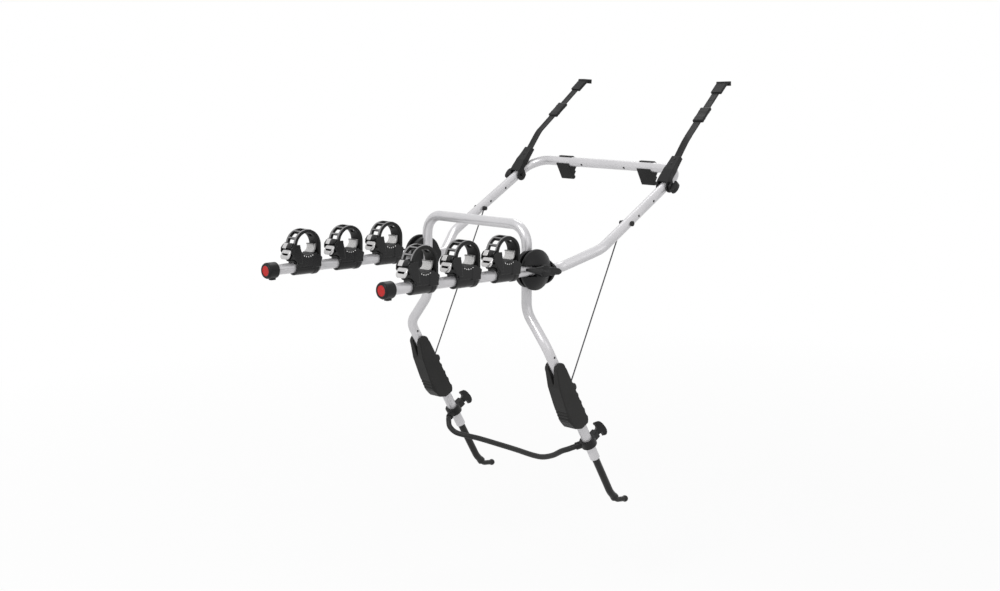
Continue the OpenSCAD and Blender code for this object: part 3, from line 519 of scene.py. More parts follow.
def strap_mesh():
    wide = STRAP_R + STRAP_T / 2.0
    vent = span(VENT_AT, VENT_L, wide)
    rungs = [span(at, RUNG_L, wide) for at in RUNGS]
    marks = [m for pair in [vent] + rungs for m in pair if m < 180.0]
    angles = arc_marks(0.0, 180.0, 7.0, marks)
    columns = [-STRAP_HALF, -RUNG_HALF, -VENT_HALF, VENT_HALF, RUNG_HALF, STRAP_HALF]
    rail = []
    for k in (5, 4, 3, 2, 1, 0):
        a = math.radians(15.0 * k)
        rail.append((ROOT[0] - EYE * math.cos(a), ROOT[0] + EYE * math.cos(a), ROOT[1] - EYE * math.sin(a)))
    mid = LOOP[0] + wide
    rail += [(mid - STRAP_T / 2.0, mid + STRAP_T / 2.0, z) for z in (ROOT[1] + 6.0, 34.0, 43.0)]
    pairs = [((y0, z), (y1, z)) for y0, y1, z in rail]
    straight = len(pairs)
    for a in angles:
        p, q = loop_point(a, STRAP_R, 0.0), loop_point(a, STRAP_R + STRAP_T, 0.0)
        pairs.append(((p.y, p.z), (q.y, q.z)))
    y0, y1 = LOOP[0] - STRAP_R, LOOP[0] - STRAP_R - STRAP_T
    pairs.append(((y0, TAIL_Z), (y1, TAIL_Z)))
    holes = []
    for k, (a, b) in enumerate(zip(angles, angles[1:])):
        centre = (a + b) / 2.0
        if vent[0] < centre < vent[1]:
            holes.append((straight + k, 2))
        if any(r[0] < centre < r[1] for r in rungs):
            holes += [(straight + k, j) for j in (1, 2, 3)]
    return slab(len(pairs) - 1, len(columns) - 1,
                lambda i, j: Vector((columns[j], *pairs[i][0])),
                lambda i, j: Vector((columns[j], *pairs[i][1])), holes, bevel=1.1, segments=3)


# Grey facing on the strap's outer face; its grey is painted sheen, not a grey layer.
def sheen_facing_mesh():
    base = STRAP_R + STRAP_T
    wide = STRAP_R + STRAP_T / 2.0
    rungs = [span(at, RUNG_L + 1.6, wide) for at in RUNGS]
    angles = arc_marks(74.0, 172.0, 6.0, [m for r in rungs for m in r if m < 172.0])
    columns = [-STRAP_HALF + 0.8, -RUNG_HALF - 0.8, RUNG_HALF + 0.8, STRAP_HALF - 2.4]
    holes = [(k, 1) for k, (a, b) in enumerate(zip(angles, angles[1:]))
             if any(r[0] < (a + b) / 2.0 < r[1] for r in rungs)]
    return slab(len(angles) - 1, 3,
                lambda i, j: loop_point(angles[i], base - 0.8, columns[j]),
                lambda i, j: loop_point(angles[i], base + 0.7, columns[j]), holes, bevel=0.4)


def lever_mesh():
    """The pressed lever: a bowed plate with a finger slot and turned-back sides."""
    stations = [0.0, 4.0, 9.4, 14.6, 19.0, 22.0, 24.0]
    half = [15.6, 16.4, 16.4, 16.1, 15.0, 12.6, 8.8]
    bow = [0.0, 0.6, 1.2, 1.6, 1.7, 1.4, 0.6]
    across = [(-1.0, 4.6), (-1.0, 2.0), (-0.92, 0.3), (-0.66, 0.0), (0.66, 0.0), (0.92, 0.3), (1.0, 2.0),
              (1.0, 4.6)]
    turn = turned(-LEVER_TILT)

    def point(i, j, lift):
        share, back = across[j]
        x = share * (half[i] - (lift if abs(share) > 0.95 else 0.0))
        tip = 0.35 if i == len(stations) - 1 else 1.0
        y = -3.4 - bow[i] + back * tip + (0.0 if abs(share) > 0.95 and back > 1.0 else lift)
        return LEVER_AT + turn @ Vector((x, y, -stations[i]))

    return slab(len(stations) - 1, len(across) - 1,
                lambda i, j: point(i, j, 1.3), lambda i, j: point(i, j, 0.0),
                [(2, 3)], bevel=0.35)


# Pin barrel of the lever, in black plastic; its black also paints the cheek's shade in the gap between the catch's
# tab and the lever plate.
def shaded_barrel_mesh():
    return moved(lathe([(-16.4, 2.4), (-16.2, 3.2), (-15.6, 3.6), (15.6, 3.6), (16.2, 3.2), (16.4, 2.4)], 24),
                 Matrix.Translation(LEVER_AT))


def tab_mesh(hand):
    """Bright tab of the buckle's catch, above the lever and beside the catch's black body."""
    stations = [(-57.9, 47.6), (-57.4, 49.2), (-56.0, 52.0), (-53.6, 56.0), (-50.4, 59.6)]
    columns = [-15.6, -14.4, -2.6, -1.4]
    return slab(len(stations) - 1, 3,
                lambda i, j: Vector((hand * columns[j], stations[i][0] + 1.7, stations[i][1] - 0.6)),
                lambda i, j: Vector((hand * columns[j], stations[i][0], stations[i][1])), bevel=0.45)


def catch_mesh(hand):
    """Black body of the catch between the cheeks, above the lever's pin."""
    stations = [(-54.0, 47.4), (-56.4, 48.6), (-56.0, 52.0), (-53.4, 57.0), (-49.6, 60.6)]
    columns = [-17.4, -16.4, -0.6, 0.4, 15.6, 17.4]
    sunk = [1.6, 1.6, 1.6, 0.0, 0.0, 0.8]
    return slab(len(stations) - 1, 5,
                lambda i, j: Vector((hand * columns[j], -47.3, stations[i][1] - 0.4)),
                lambda i, j: Vector((hand * columns[j], stations[i][0] + sunk[j], stations[i][1])), bevel=0.5)


def pad_mesh(hand):
    """Soft rear pad with a rolled lip above and below."""
    inner, outer = 23.0, 31.2
    low = math.degrees(math.asin((34.0 - LOOP[1]) / inner))
    high = math.degrees(math.asin((54.0 - LOOP[1]) / inner))
    count = 12
    dip = [0.0, -0.5, -0.5, 0.5, 0.9, 1.0, 1.0, 1.0, 0.9, 0.5, -0.5, -0.5, 0.0]
    columns = [hand * x for x in (-17.0, -16.0, -10.0, -4.0, 2.0, 9.0, 10.0)]

    def face(i, j):
        return loop_point(low + (high - low) * i / count, inner + dip[i], columns[j])

    def back(i, j):
        z = face(i, j).z
        return Vector((columns[j], LOOP[0] + math.sqrt(outer ** 2 - (z - LOOP[1]) ** 2), z))

    return slab(count, 6, back, face, bevel=0.7)


def shade_rim_mesh(hand):
    """Dark rolled edge along the top of a pad; its dark grey is painted shade under the pad's roll."""
    top = LOOP[1] + 1.6
    stations = [(0.4, top - 2.4), (-0.5, top - 1.2), (-0.5, top + 0.6), (0.6, top + 1.4)]
    columns = [hand * x for x in (-17.1, -16.4, 9.4, 10.1)]

    def face(i, j):
        dy, z = stations[i]
        return Vector((columns[j], LOOP[0] + math.sqrt(23.0 ** 2 - (z - LOOP[1]) ** 2) + dy, z))

    return slab(3, 3, lambda i, j: face(i, j) + Vector((0.0, 2.0, 0.0)), face, bevel=0.0)


def make_cradles():
    for side in SIDES:
        arm = side + "_arm"
        pads = []
        rims = []
        for place in CRADLES:
            stem = f"{side}_{place}"
            at = on_cradle(place)
            strap, lever = stem + "_strap", stem + "_lever"
            piece(stem + "_ladder_strap", strap_mesh(), at, side, STRAP, strap, (strap,))
            piece(stem + "_painted_sheen_facing", sheen_facing_mesh(), at, side, PAINTED_SHEEN, strap)
            piece(stem + "_lever_plate", lever_mesh(), at, side, BUCKLE, lever, (lever,))
            piece(stem + "_shaded_lever_barrel", shaded_barrel_mesh(), at, side, PLASTIC, lever)
            hand = -1.0 if side == "left" else 1.0
            piece(stem + "_catch_tab", tab_mesh(hand), at, side, BUCKLE, arm)
            piece(stem + "_catch_body", catch_mesh(hand), at, side, SEAT, arm)
            pads.append(moved(pad_mesh(hand), at))
            rims.append(moved(shade_rim_mesh(hand), at))
        piece(side + "_soft_pads", joined(*pads), Matrix.Identity(4), side, PAD, arm,
              (side + "_cradle_pads",))
        piece(side + "_pad_rims", joined(*rims), Matrix.Identity(4), side, SHADE_RIM, arm)


make_cradles()


# Tie wires between the frames
WIRE_TOP = ON_UPPER @ Vector((-15.9, 112.0, 0.0))
WIRE_FOOT = ON_LEG @ Vector((0.0, -17.0, 132.0))
WIRE_R = 1.7
FERRULE = [(0.0, 2.6), (0.008, 2.8), (0.012, 2.8), (0.02, 2.6), (0.022, 1.9)]


def make_wires():
    count = 24
    for side, flip in SIDES.items():
        path = [WIRE_FOOT.lerp(WIRE_TOP, k / count) for k in range(count + 1)]
        bm = tube(path, WIRE_R, 10)
        collar = [path[0].lerp(path[-1], t) for t, _ in FERRULE]
        bm = joined(bm, tube(collar, lambda i: FERRULE[i][1], 12))
        eye = moved(lathe([(-1.3, 5.8), (-1.0, 6.4), (1.0, 6.4), (1.3, 5.8)], 24), Matrix.Translation(WIRE_TOP))
        obj = piece(side + "_tie_wire", joined(bm, eye), Matrix.Identity(4), side, WIRE, None,
                    ("wires",) if side == "left" else ())
        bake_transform(obj)


make_wires()


# Upper strap hooks: band, slider and hook
def band_path():
    """Centre line of the band: straight from the clip, round one bend, straight to the hook."""
    t = BEND_R * math.tan(math.radians(BAND_TURN / 2.0))
    run = [ON_CLIP @ Vector((0.0, y, BAND_Z)) for y in (44.0, 60.0, 80.0, 100.0, BEND_AT - t)]
    centre = ON_CLIP @ Vector((0.0, BEND_AT - t, BAND_Z - BEND_R))
    for k in range(1, 6):
        spin = turned(BAND_RISE - BAND_TURN * k / 6.0)
        run.append(centre + (spin @ Vector((0.0, 0.0, BEND_R))))
    run += [ON_BAND @ Vector((0.0, y, 0.0)) for y in (t, 40.0, 70.0, 118.0, 160.0, 204.0)]
    return run


def band_mesh():
    path = band_path()
    half, thick = 11.0, 1.6
    columns = [-half, -half + 1.4, -half + 2.8, 0.0, half - 2.8, half - 1.4, half]
    crown = [0.55, 1.0, 0.78, 0.78, 0.78, 1.0, 0.55]
    normals = []
    last = len(path) - 1
    for i in range(last + 1):
        d = (path[min(i + 1, last)] - path[max(i - 1, 0)]).normalized()
        normals.append(Vector((0.0, -d.z, d.y)).normalized())

    def face(sign):
        return lambda i, j: (path[i] + normals[i] * (sign * thick * crown[j])
                             + Vector((columns[j], 0.0, 0.0)))

    return slab(last, 6, face(-1.0), face(1.0), bevel=0.0)


def slider_mesh():
    """Sleeve that holds the doubled band."""
    stations = [68.0, 69.5, 73.0, 77.0, 81.0, 86.0, 102.0, 107.0, 111.0, 115.0, 118.5, 120.0]
    swell = [3.4, 4.3, 4.5, 3.9, 4.5, 3.9, 3.9, 4.5, 3.9, 4.5, 4.3, 3.4]
    half = [15.0, 15.8, 16.0, 15.6, 16.0, 15.6, 15.6, 16.0, 15.6, 16.0, 15.8, 15.0]
    columns = [-1.0, -0.9, 0.0, 0.9, 1.0]
    crown = [0.55, 1.0, 1.0, 1.0, 0.55]

    def face(sign):
        return lambda i, j: Vector((columns[j] * half[i], stations[i], sign * swell[i] * crown[j]))

    return slab(len(stations) - 1, 4, face(-1.0), face(1.0), bevel=0.3)


def make_hooks():
    for side in SIDES:
        body = side + "_strap_hook"
        bm = joined(band_mesh(), moved(slider_mesh(), ON_BAND))
        piece(side + "_woven_band", bm, Matrix.Identity(4), side, STRAP, body,
              (side + "_hook_band",))
        cast(side + "_hook_tip", side + "_top_hook", body, RUBBER, 0.7)


make_hooks()


# Hub wing, cross handle and other pieces with shapes of their own
WING = [(-61.0, -2.6), (-61.0, 3.6), (-40.0, 6.4), (-19.0, 9.0), (-8.0, 12.4), (8.0, 12.4), (15.0, 9.4), (22.0, 10.4),
        (45.0, 9.0), (55.0, 4.6), (56.0, -2.6), (47.0, -7.0), (36.0, -7.6), (24.0, -10.0), (15.0, -9.0), (8.0, -12.4),
        (-8.0, -12.4), (-19.0, -8.6), (-40.0, -6.2)]
HANDLE = [(-7.4, 36.6), (-7.4, 43.6), (-9.6, 47.2), (-14.0, 48.2), (-18.6, 47.0), (-20.6, 48.6), (-20.8, 52.4),
          (-18.4, 57.6), (-13.0, 61.4), (-6.0, 63.2)]


def wing_mesh():
    """Wing of the hub knob: a long front blade with a ridge and a short blunt rear end."""
    turn = Matrix.Rotation(math.radians(-8.0), 4, "X")
    bm = bmesh.new()
    foot = [bm.verts.new((235.8, y, z))
            for y, z in ((-58.0, -1.8), (8.0, -8.4), (14.0, 0.0), (8.0, 8.6), (-58.0, 2.6))]
    crest = [bm.verts.new((239.0, y, z)) for y, z in ((-54.0, 0.6), (7.0, 0.6))]
    for corners in ((foot[0], foot[1], crest[1], crest[0]), (foot[1], foot[2], crest[1]),
                    (foot[2], foot[3], crest[1]), (foot[3], foot[4], crest[0], crest[1]),
                    (foot[4], foot[0], crest[0]), tuple(reversed(foot))):
        bm.faces.new(corners)
    soften(bm, 0.5, 2, 20.0)
    blade = plate(WING, 226.2, 236.2, 1.8)
    boss = lathe([(224.5, 12.0), (224.9, 14.2), (226.0, 15.0), (236.2, 15.0), (237.4, 14.0), (237.8, 12.0)], 40)
    return joined(moved(joined(bm, blade), turn), boss)


def handle_mesh():
    """Cross handle of a clamp screw: a stem that flares into a bowed bar."""
    outline = HANDLE + [(-y, z) for y, z in reversed(HANDLE)]
    return plate(outline, -7.4, 7.4, 2.6, 4, 24.0)


def clip_handle_mesh():
    """Bolt of a strap clip with its own smaller cross handle on a round hub."""
    half = [(0.76 * y, 18.0 + 0.82 * (z - HANDLE[0][1])) for y, z in HANDLE]
    bar = plate(half + [(-y, z) for y, z in reversed(half)], -6.6, 6.6, 2.2, 4, 24.0)
    hub = lathe([(18.0, 9.4), (18.4, 10.6), (19.4, 11.2), (23.4, 11.2), (24.8, 10.4), (25.4, 8.6)], 40)
    bolt = lathe([(-22.2, 2.6), (-21.8, 3.2), (-21.0, 3.5), (19.0, 3.5)], 24)
    return joined(moved(bar, Matrix.Rotation(math.radians(90.0), 4, "Y")), hub, bolt)


def screw_mesh():
    """Threaded shank of a clamp screw with its flange."""
    shank = [(10.8, 2.2), (11.4, 2.9)]
    for k in range(16):
        shank += [(12.0 + 1.4 * k, 3.0), (12.7 + 1.4 * k, 2.6)]
    return lathe(shank + [(35.2, 3.0), (35.2, 6.4), (35.5, 6.8), (36.1, 6.8), (36.4, 6.4)], 24, "Z")


def lip_mesh():
    """Rolled lip of an end cap round its reflector."""
    return ring([(-480.8, 18.2), (-482.6, 18.0), (-484.2, 17.0), (-484.9, 15.4), (-484.9, 13.0), (-484.5, 12.3),
                 (-484.05, 12.2), (-484.05, 13.8), (-480.8, 13.8)], 48, "Y")


def toe_collar_mesh():
    """Flange where a hook rod's thick coating ends at its bend."""
    return ring([(17.0, 9.3), (19.0, 9.9), (24.0, 10.5), (27.4, 10.7), (28.6, 9.9), (28.8, 8.2), (27.0, 8.0),
                 (17.0, 8.0)], 32, "Z")


def make_handles():
    for side in SIDES:
        arm = side + "_arm"
        piece(side + "_wing_knob", wing_mesh(), Matrix.Identity(4), side, PLASTIC, side + "_hub_knob",
              (side + "_hub_knob",), sharp=30.0)
        knob = side + "_clamp_knob"
        bar = 25.0 if side == "left" else -25.0
        on_screw = ON_LEG @ Matrix.Translation((0.0, 0.0, CLAMP_S)) @ turned(90.0)
        across = Matrix.Rotation(math.radians(bar), 4, "Z")
        piece(side + "_cross_handle", handle_mesh(), on_screw @ across, side, PLASTIC, knob,
              (side + "_clamp_knob",), sharp=30.0)
        piece(side + "_clamp_screw", screw_mesh(), on_screw, side, BRASS, knob)
        knob = side + "_clip_knob"
        piece(side + "_clip_handle", clip_handle_mesh(), ON_CLIP, side, PLASTIC, knob, (knob,),
              sharp=30.0)
        piece(side + "_cap_lip", lip_mesh(), ON_ARM @ Matrix.Translation((ARM_X, 0.0, 0.0)), side, PLASTIC, arm)
        piece(side + "_rod_flange", toe_collar_mesh(), ON_LEG @ Matrix.Translation((0.0, 0.0, 470.0)) @ turned(14.5),
              side, COATING, side + "_hook_rod")


make_handles()


# Moulded pieces with their edges rounded
def eased(value, low, high):
    t = min(1.0, max(0.0, (value - low) / (high - low)))
    return t * t * (3.0 - 2.0 * t)


def slim_clip(p):
    """Draws the clip's walls in above its bolt, where only the band passes."""
    thin = eased(p.y, 16.0, 34.0)
    reach = abs(p.x)
    if reach > 13.2:
        reach = 13.2 + (reach - 13.2) * (1.0 - 0.45 * thin)
    reach *= 1.0 - 0.12 * eased(p.y, 40.0, 62.0)
    foot = -15.0 + 15.0 * eased(p.y, 10.0, 46.0)
    lift = eased(p.y, 9.0, 20.0) * (1.0 - eased(p.y, 38.0, 52.0))
    keep = 1.0 - lift * max(0.0, 2.0 - foot) / (18.0 - foot)
    return Vector((math.copysign(reach, p.x), p.y, 18.0 - (18.0 - p.z) * keep))


def spiked_fin(p):
    """Draws the fin's two ends to spikes."""
    r = math.hypot(p.y, p.z)
    if r < 49.5 or p.y < 10.0:
        return p
    share = min(1.0, abs(math.degrees(math.atan2(p.z, p.y)) + 13.0) / 36.0)
    keep = 1.0 - 0.8 * share ** 3
    out = 49.5 + (r - 49.5) * keep
    x = 187.3 + (p.x - 187.3) * (1.0 - 0.55 * share ** 2)
    return Vector((x, p.y * out / r, p.z * out / r))


def make_mouldings():
    for side in SIDES:
        arm = side + "_arm"
        cast(side + "_hand_grip", side + "_grip", "lower_frame", GRIP, 0.9, 16)
        cast(side + "_collar", side + "_leg_clamp", "lower_frame", PLASTIC, 0.7)
        cast(side + "_dome", side + "_hub_cover", arm, PLASTIC, 0.9)
        cast(side + "_cap", side + "_end_cap", arm, PLASTIC, 0.7)
        cast(side + "_clip", side + "_strap_clip", side + "_strap_hook", PLASTIC, 0.7,
             shape=slim_clip, place=ROW @ SIDES[side] @ ON_CLIP)
        cast(side + "_fin", side + "_hub_collar", "upper_frame", PLASTIC, 0.7,
             shape=spiked_fin, place=ROW @ SIDES[side])
        for place in CRADLES:
            stem = f"{side}_{place}"
            cast(stem + "_seat", stem + "_cradle", arm, SEAT, 0.8)
    cast("rubber_feet", "crossbar_pads", "upper_frame", RUBBER, 0.8)


make_mouldings()


# Small pieces that repeat, grown by node trees
ANGLES = ("First", "Sweep")


def new_tree(name, sizes):
    """A node tree that takes a piece's seed points and its named sizes."""
    tree = bpy.data.node_groups.new(name, "GeometryNodeTree")
    tree.interface.new_socket("Geometry", in_out="INPUT", socket_type="NodeSocketGeometry")
    for label in sizes:
        tree.interface.new_socket(label, in_out="INPUT", socket_type="NodeSocketFloat")
    tree.interface.new_socket("Material", in_out="INPUT", socket_type="NodeSocketMaterial")
    tree.interface.new_socket("Geometry", in_out="OUTPUT", socket_type="NodeSocketGeometry")
    return tree, tree.nodes.new("NodeGroupInput"), tree.nodes.new("NodeGroupOutput")


def wired(tree, kind, links, **constants):
    """A node with its inputs linked or set by name."""
    node = tree.nodes.new(kind)
    for label, source in links.items():
        tree.links.new(source, node.inputs[label])
    for label, value in constants.items():
        node.inputs[label.replace("_", " ")].default_value = value
    return node


def close_tree(tree, entry, leave, geometry):
    real = wired(tree, "GeometryNodeRealizeInstances", {"Geometry": geometry})
    dyed = wired(tree, "GeometryNodeSetMaterial",
                 {"Geometry": real.outputs[0], "Material": entry.outputs["Material"]})
    tree.links.new(dyed.outputs[0], leave.inputs["Geometry"])


def seat_arc(tree, entry, radius, count, instance):
    """Copies of a shape along a cradle's arc, which stands across the arm."""
    arc = wired(tree, "GeometryNodeCurveArc", {"Radius": entry.outputs[radius],
                                               "Start Angle": entry.outputs["First"],
                                               "Sweep Angle": entry.outputs["Sweep"]}, Resolution=count)
    row = wired(tree, "GeometryNodeInstanceOnPoints", {"Points": arc.outputs[0], "Instance": instance.outputs[0]})
    return wired(tree, "GeometryNodeTransform", {"Geometry": row.outputs[0]},
                 Rotation=(math.pi / 2.0, 0.0, math.pi / 2.0))


def close_seats(tree, entry, leave, shape):
    """Leans a shape with the arm and sets it at every cradle."""
    lean = wired(tree, "GeometryNodeTransform", {"Geometry": shape.outputs[0]},
                 Rotation=(math.radians(-ARM_RISE), 0.0, 0.0))
    seats = wired(tree, "GeometryNodeInstanceOnPoints",
                  {"Points": entry.outputs["Geometry"], "Instance": lean.outputs[0]})
    close_tree(tree, entry, leave, seats.outputs[0])
    return tree


def rib_tree():
    """Ribs across a cradle's seat, set along its arc."""
    tree, entry, leave = new_tree("seat_ribs", ("Seat Radius", "Rib Radius", "Rib Length", "First", "Sweep"))
    rib = wired(tree, "GeometryNodeMeshCylinder", {"Radius": entry.outputs["Rib Radius"],
                                                   "Depth": entry.outputs["Rib Length"]}, Vertices=10)
    stand = seat_arc(tree, entry, "Seat Radius", 7, rib)
    return close_seats(tree, entry, leave, stand)


def glint_stud_tree():
    """Studs along the edges of a cradle's seat, on both of its sides, made grey to paint the glints on the seat's
    glossy black teeth.
    """
    tree, entry, leave = new_tree("glint_studs", ("Edge Radius", "Stud Radius", "Side", "First", "Sweep"))
    stud = wired(tree, "GeometryNodeMeshUVSphere", {"Radius": entry.outputs["Stud Radius"]}, Segments=12, Rings=8)
    stand = seat_arc(tree, entry, "Edge Radius", 5, stud)
    away = tree.nodes.new("ShaderNodeMath")
    away.operation = "MULTIPLY"
    away.inputs[1].default_value = -1.0
    tree.links.new(entry.outputs["Side"], away.inputs[0])
    pair = tree.nodes.new("GeometryNodeJoinGeometry")
    for reach in (entry.outputs["Side"], away.outputs[0]):
        shift = wired(tree, "ShaderNodeCombineXYZ", {"X": reach})
        half = wired(tree, "GeometryNodeTransform", {"Geometry": stand.outputs[0], "Translation": shift.outputs[0]})
        tree.links.new(half.outputs[0], pair.inputs[0])
    return close_seats(tree, entry, leave, pair)


def prism_tree():
    """Small prisms over the face of a reflector."""
    tree, entry, leave = new_tree("lens_prisms", ("Lens Radius", "Prism Radius", "Prism Height"))
    grid = wired(tree, "GeometryNodeMeshGrid", {}, Size_X=0.0264, Size_Y=0.0264, Vertices_X=13, Vertices_Y=13)
    place = tree.nodes.new("GeometryNodeInputPosition")
    reach = wired(tree, "ShaderNodeVectorMath", {"Vector": place.outputs[0]})
    reach.operation = "LENGTH"
    outside = tree.nodes.new("FunctionNodeCompare")
    outside.data_type = "FLOAT"
    outside.operation = "GREATER_THAN"
    tree.links.new(reach.outputs["Value"], outside.inputs["A"])
    tree.links.new(entry.outputs["Lens Radius"], outside.inputs["B"])
    trim = wired(tree, "GeometryNodeDeleteGeometry",
                 {"Geometry": grid.outputs[0], "Selection": outside.outputs["Result"]})
    trim.domain = "POINT"
    prism = wired(tree, "GeometryNodeMeshCone", {"Radius Bottom": entry.outputs["Prism Radius"],
                                                 "Depth": entry.outputs["Prism Height"]},
                  Vertices=6, Radius_Top=0.0001)
    field = wired(tree, "GeometryNodeInstanceOnPoints", {"Points": trim.outputs[0], "Instance": prism.outputs[0]})
    stand = wired(tree, "GeometryNodeTransform", {"Geometry": field.outputs[0]},
                  Rotation=(math.radians(90.0 - ARM_RISE), 0.0, 0.0))
    faces = wired(tree, "GeometryNodeInstanceOnPoints",
                  {"Points": entry.outputs["Geometry"], "Instance": stand.outputs[0]})
    close_tree(tree, entry, leave, faces.outputs[0])
    return tree


def stitch_tree():
    """Stitches at even steps along a sewn line."""
    tree, entry, leave = new_tree("sewn_line", ("Step", "Stitch Width", "Stitch Length"))
    line = wired(tree, "GeometryNodeMeshToCurve", {"Mesh": entry.outputs["Geometry"]})
    spots = tree.nodes.new("GeometryNodeCurveToPoints")
    spots.mode = "LENGTH"
    tree.links.new(line.outputs[0], spots.inputs["Curve"])
    tree.links.new(entry.outputs["Step"], spots.inputs["Length"])
    bead = wired(tree, "GeometryNodeMeshUVSphere", {}, Segments=8, Rings=5, Radius=1.0)
    size = wired(tree, "ShaderNodeCombineXYZ", {"X": entry.outputs["Stitch Width"],
                                                "Y": entry.outputs["Stitch Width"],
                                                "Z": entry.outputs["Stitch Length"]})
    row = wired(tree, "GeometryNodeInstanceOnPoints",
                {"Points": spots.outputs["Points"], "Instance": bead.outputs[0],
                 "Rotation": spots.outputs["Rotation"], "Scale": size.outputs[0]})
    close_tree(tree, entry, leave, row.outputs[0])
    return tree


def rivet_tree():
    """Flat round rivet heads on a clip's face."""
    tree, entry, leave = new_tree("clip_rivets", ("Rivet Radius", "Rivet Height"))
    head = wired(tree, "GeometryNodeMeshUVSphere", {}, Segments=20, Rings=10, Radius=1.0)
    size = wired(tree, "ShaderNodeCombineXYZ", {"X": entry.outputs["Rivet Radius"],
                                                "Y": entry.outputs["Rivet Radius"],
                                                "Z": entry.outputs["Rivet Height"]})
    flat = wired(tree, "GeometryNodeTransform", {"Geometry": head.outputs[0], "Scale": size.outputs[0]},
                 Rotation=(math.radians(BAND_RISE - 7.4), 0.0, 0.0))
    heads = wired(tree, "GeometryNodeInstanceOnPoints",
                  {"Points": entry.outputs["Geometry"], "Instance": flat.outputs[0]})
    close_tree(tree, entry, leave, heads.outputs[0])
    return tree


def grown(name, tree, spots, sizes, material, body, edges=()):
    """Runs a node tree on seed points given in millimetres and keeps the result as a plain mesh."""
    mesh = bpy.data.meshes.new(name)
    mesh.from_pydata([tuple(ROW @ p) for p in spots], list(edges), [])
    obj = bpy.data.objects.new(name, mesh)
    bpy.context.scene.collection.objects.link(obj)
    modifier = obj.modifiers.new("grown", "NODES")
    modifier.node_group = tree
    for item in tree.interface.items_tree:
        if item.item_type == "SOCKET" and item.in_out == "INPUT":
            if item.name in sizes:
                unit = 1.0 if item.name in ANGLES else 0.001
                modifier[item.identifier] = sizes[item.name] * unit
            elif item.name == "Material":
                modifier[item.identifier] = material
    baked(obj)
    obj.data.materials.clear()
    obj.data.materials.append(material)
    for face in obj.data.polygons:
        face.use_smooth = True
        face.material_index = 0
    obj.data.set_sharp_from_angle(angle=math.radians(40.0))
    settle(obj, body)


def box_stitch(face):
    """Corners and edges of a sewn box on the band, near the hook."""
    corners = [(-8.5, 150.0), (8.5, 150.0), (8.5, 174.0), (-8.5, 174.0)]
    spots = [ON_BAND @ Vector((x, y, face)) for x, y in corners]
    return spots, [(0, 1), (1, 2), (2, 3), (3, 0)]


def make_repeats():
    ribs, studs = rib_tree(), glint_stud_tree()
    prisms, stitches, rivets = prism_tree(), stitch_tree(), rivet_tree()
    for side, flip in SIDES.items():
        arm = side + "_arm"
        hook = side + "_strap_hook"
        seats = [flip @ on_cradle(place) @ Vector((0.0, LOOP[0], LOOP[1])) for place in CRADLES]
        grown(side + "_seat_ribs", ribs, seats,
              {"Seat Radius": 23.1, "Rib Radius": 0.8, "Rib Length": 33.0, "First": math.radians(212.0),
               "Sweep": math.radians(84.0)}, PLASTIC, arm)
        # Grey of these studs is painted glint: the teeth they stand for are glossy black.
        grown(side + "_glint_studs", studs, seats,
              {"Edge Radius": 25.4, "Stud Radius": 1.6, "Side": 20.0, "First": math.radians(240.0),
               "Sweep": math.radians(60.0)}, PAD, arm)
        lens = [flip @ ON_ARM @ Vector((ARM_X, -483.9, 0.0))]
        grown(side + "_lens_prisms", prisms, lens,
              {"Lens Radius": 11.0, "Prism Radius": 1.15, "Prism Height": 0.6}, LENS, arm)
        for label, face in (("outer", 1.3), ("inner", -1.3)):
            spots, edges = box_stitch(face)
            grown(f"{side}_{label}_stitches", stitches, [flip @ p for p in spots],
                  {"Step": 3.4, "Stitch Width": 0.45, "Stitch Length": 1.3}, STITCH, hook, edges)
        heads = [flip @ ON_CLIP @ Vector((0.0, y, z)) for y, z in ((60.0, 15.4), (76.0, 13.3))]
        grown(side + "_clip_rivets", rivets, heads, {"Rivet Radius": 3.2, "Rivet Height": 1.3}, PLASTIC, hook)


make_repeats()


# Floor, light and background
def seen_directly(tree):
    """One where the camera, gloss or glass looks at a surface, nought for other light."""
    path = tree.nodes.new("ShaderNodeLightPath")
    total = path.outputs["Is Camera Ray"]
    for ray in ("Is Glossy Ray", "Is Transmission Ray"):
        either = tree.nodes.new("ShaderNodeMath")
        either.operation = "MAXIMUM"
        tree.links.new(total, either.inputs[0])
        tree.links.new(path.outputs[ray], either.inputs[1])
        total = either.outputs[0]
    return total


def set_world(level):
    world = bpy.data.worlds.new("studio")
    bpy.context.scene.world = world
    world.use_nodes = True
    tree = world.node_tree
    tree.nodes.clear()
    out = tree.nodes.new("ShaderNodeOutputWorld")
    soft = tree.nodes.new("ShaderNodeBackground")
    soft.inputs["Strength"].default_value = level
    white = tree.nodes.new("ShaderNodeBackground")
    white.inputs["Strength"].default_value = 1.0
    for node in (soft, white):
        node.inputs["Color"].default_value = (1.0, 1.0, 1.0, 1.0)
    mix = tree.nodes.new("ShaderNodeMixShader")
    tree.links.new(seen_directly(tree), mix.inputs["Fac"])
    tree.links.new(soft.outputs[0], mix.inputs[1])
    tree.links.new(white.outputs[0], mix.inputs[2])
    tree.links.new(mix.outputs[0], out.inputs["Surface"])


def add_lamp(name, at, aim, width, watts):
    data = bpy.data.lights.new(name, "AREA")
    data.shape = "DISK"
    data.size = width
    data.energy = watts
    lamp = bpy.data.objects.new(name, data)
    bpy.context.scene.collection.objects.link(lamp)
    lamp.location = at
    lamp.rotation_euler = (Vector(aim) - Vector(at)).to_track_quat("-Z", "Y").to_euler()


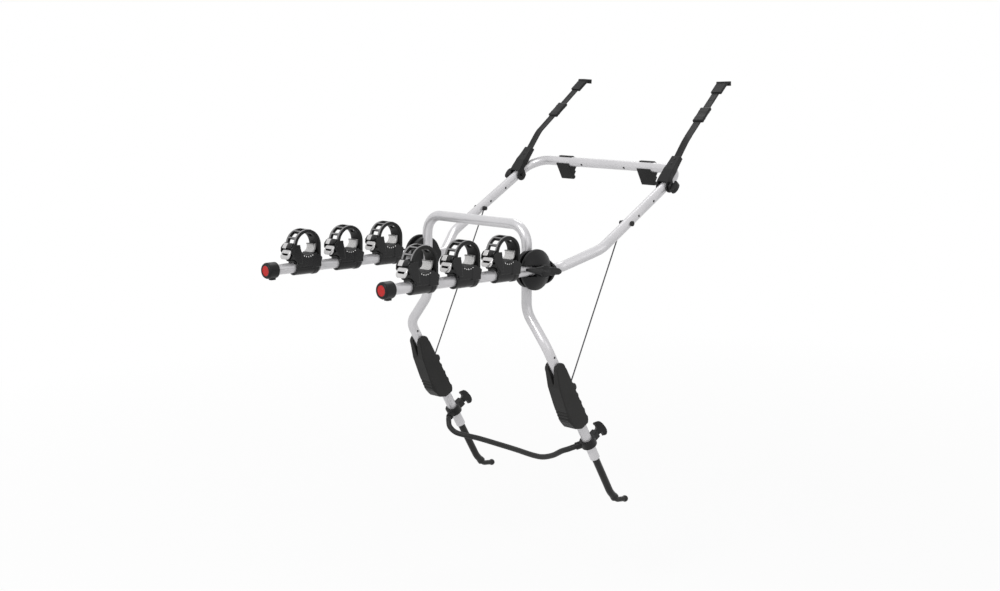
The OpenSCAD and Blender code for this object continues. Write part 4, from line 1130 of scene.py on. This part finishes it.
def add_floor(height):
    bm = bmesh.new()
    bmesh.ops.create_grid(bm, x_segments=1, y_segments=1, size=40.0)
    mesh = bpy.data.meshes.new("floor")
    bm.to_mesh(mesh)
    bm.free()
    floor = bpy.data.objects.new("floor", mesh)
    floor.location = (0.0, 0.0, height)
    bpy.context.scene.collection.objects.link(floor)
    material, tree, surface, place = shader("pale_floor")
    surface.inputs["Roughness"].default_value = 0.9
    surface.inputs["Specular IOR Level"].default_value = 0.0
    tree.links.new(tint(tree, grain(tree, place, 3.0), (0.80, 0.80, 0.80), (0.82, 0.82, 0.82)),
                   surface.inputs["Base Color"])
    white = tree.nodes.new("ShaderNodeEmission")
    white.inputs["Color"].default_value = (1.0, 1.0, 1.0, 1.0)
    white.inputs["Strength"].default_value = 1.0
    reach = tree.nodes.new("ShaderNodeVectorMath")
    reach.operation = "LENGTH"
    tree.links.new(place, reach.inputs[0])
    fade = tree.nodes.new("ShaderNodeMapRange")
    fade.inputs["From Min"].default_value = 0.8
    fade.inputs["From Max"].default_value = 3.2
    fade.inputs["To Min"].default_value = 0.9
    fade.inputs["To Max"].default_value = 1.0
    tree.links.new(reach.outputs["Value"], fade.inputs["Value"])
    share = tree.nodes.new("ShaderNodeMath")
    share.operation = "MULTIPLY"
    tree.links.new(fade.outputs["Result"], share.inputs[1])
    tree.links.new(seen_directly(tree), share.inputs[0])
    mix = tree.nodes.new("ShaderNodeMixShader")
    tree.links.new(share.outputs[0], mix.inputs["Fac"])
    tree.links.new(surface.outputs[0], mix.inputs[1])
    tree.links.new(white.outputs[0], mix.inputs[2])
    tree.links.new(mix.outputs[0], tree.nodes["Material Output"].inputs["Surface"])
    mesh.materials.append(material)


set_world(0.55)
add_floor(cad_box[0][2] - 0.25)
MIDDLE = Vector((0.0, -0.55, -0.45))
add_lamp("key", MIDDLE + Vector((0.7, -2.75, 2.4)), MIDDLE, 1.4, 68.0)
add_lamp("fill", MIDDLE + Vector((3.2, -0.4, 1.2)), MIDDLE, 2.2, 9.0)
add_lamp("rim", MIDDLE + Vector((-1.2, 2.0, 3.0)), MIDDLE, 2.0, 30.0)

scene = bpy.context.scene
scene.view_settings.view_transform = "Standard"
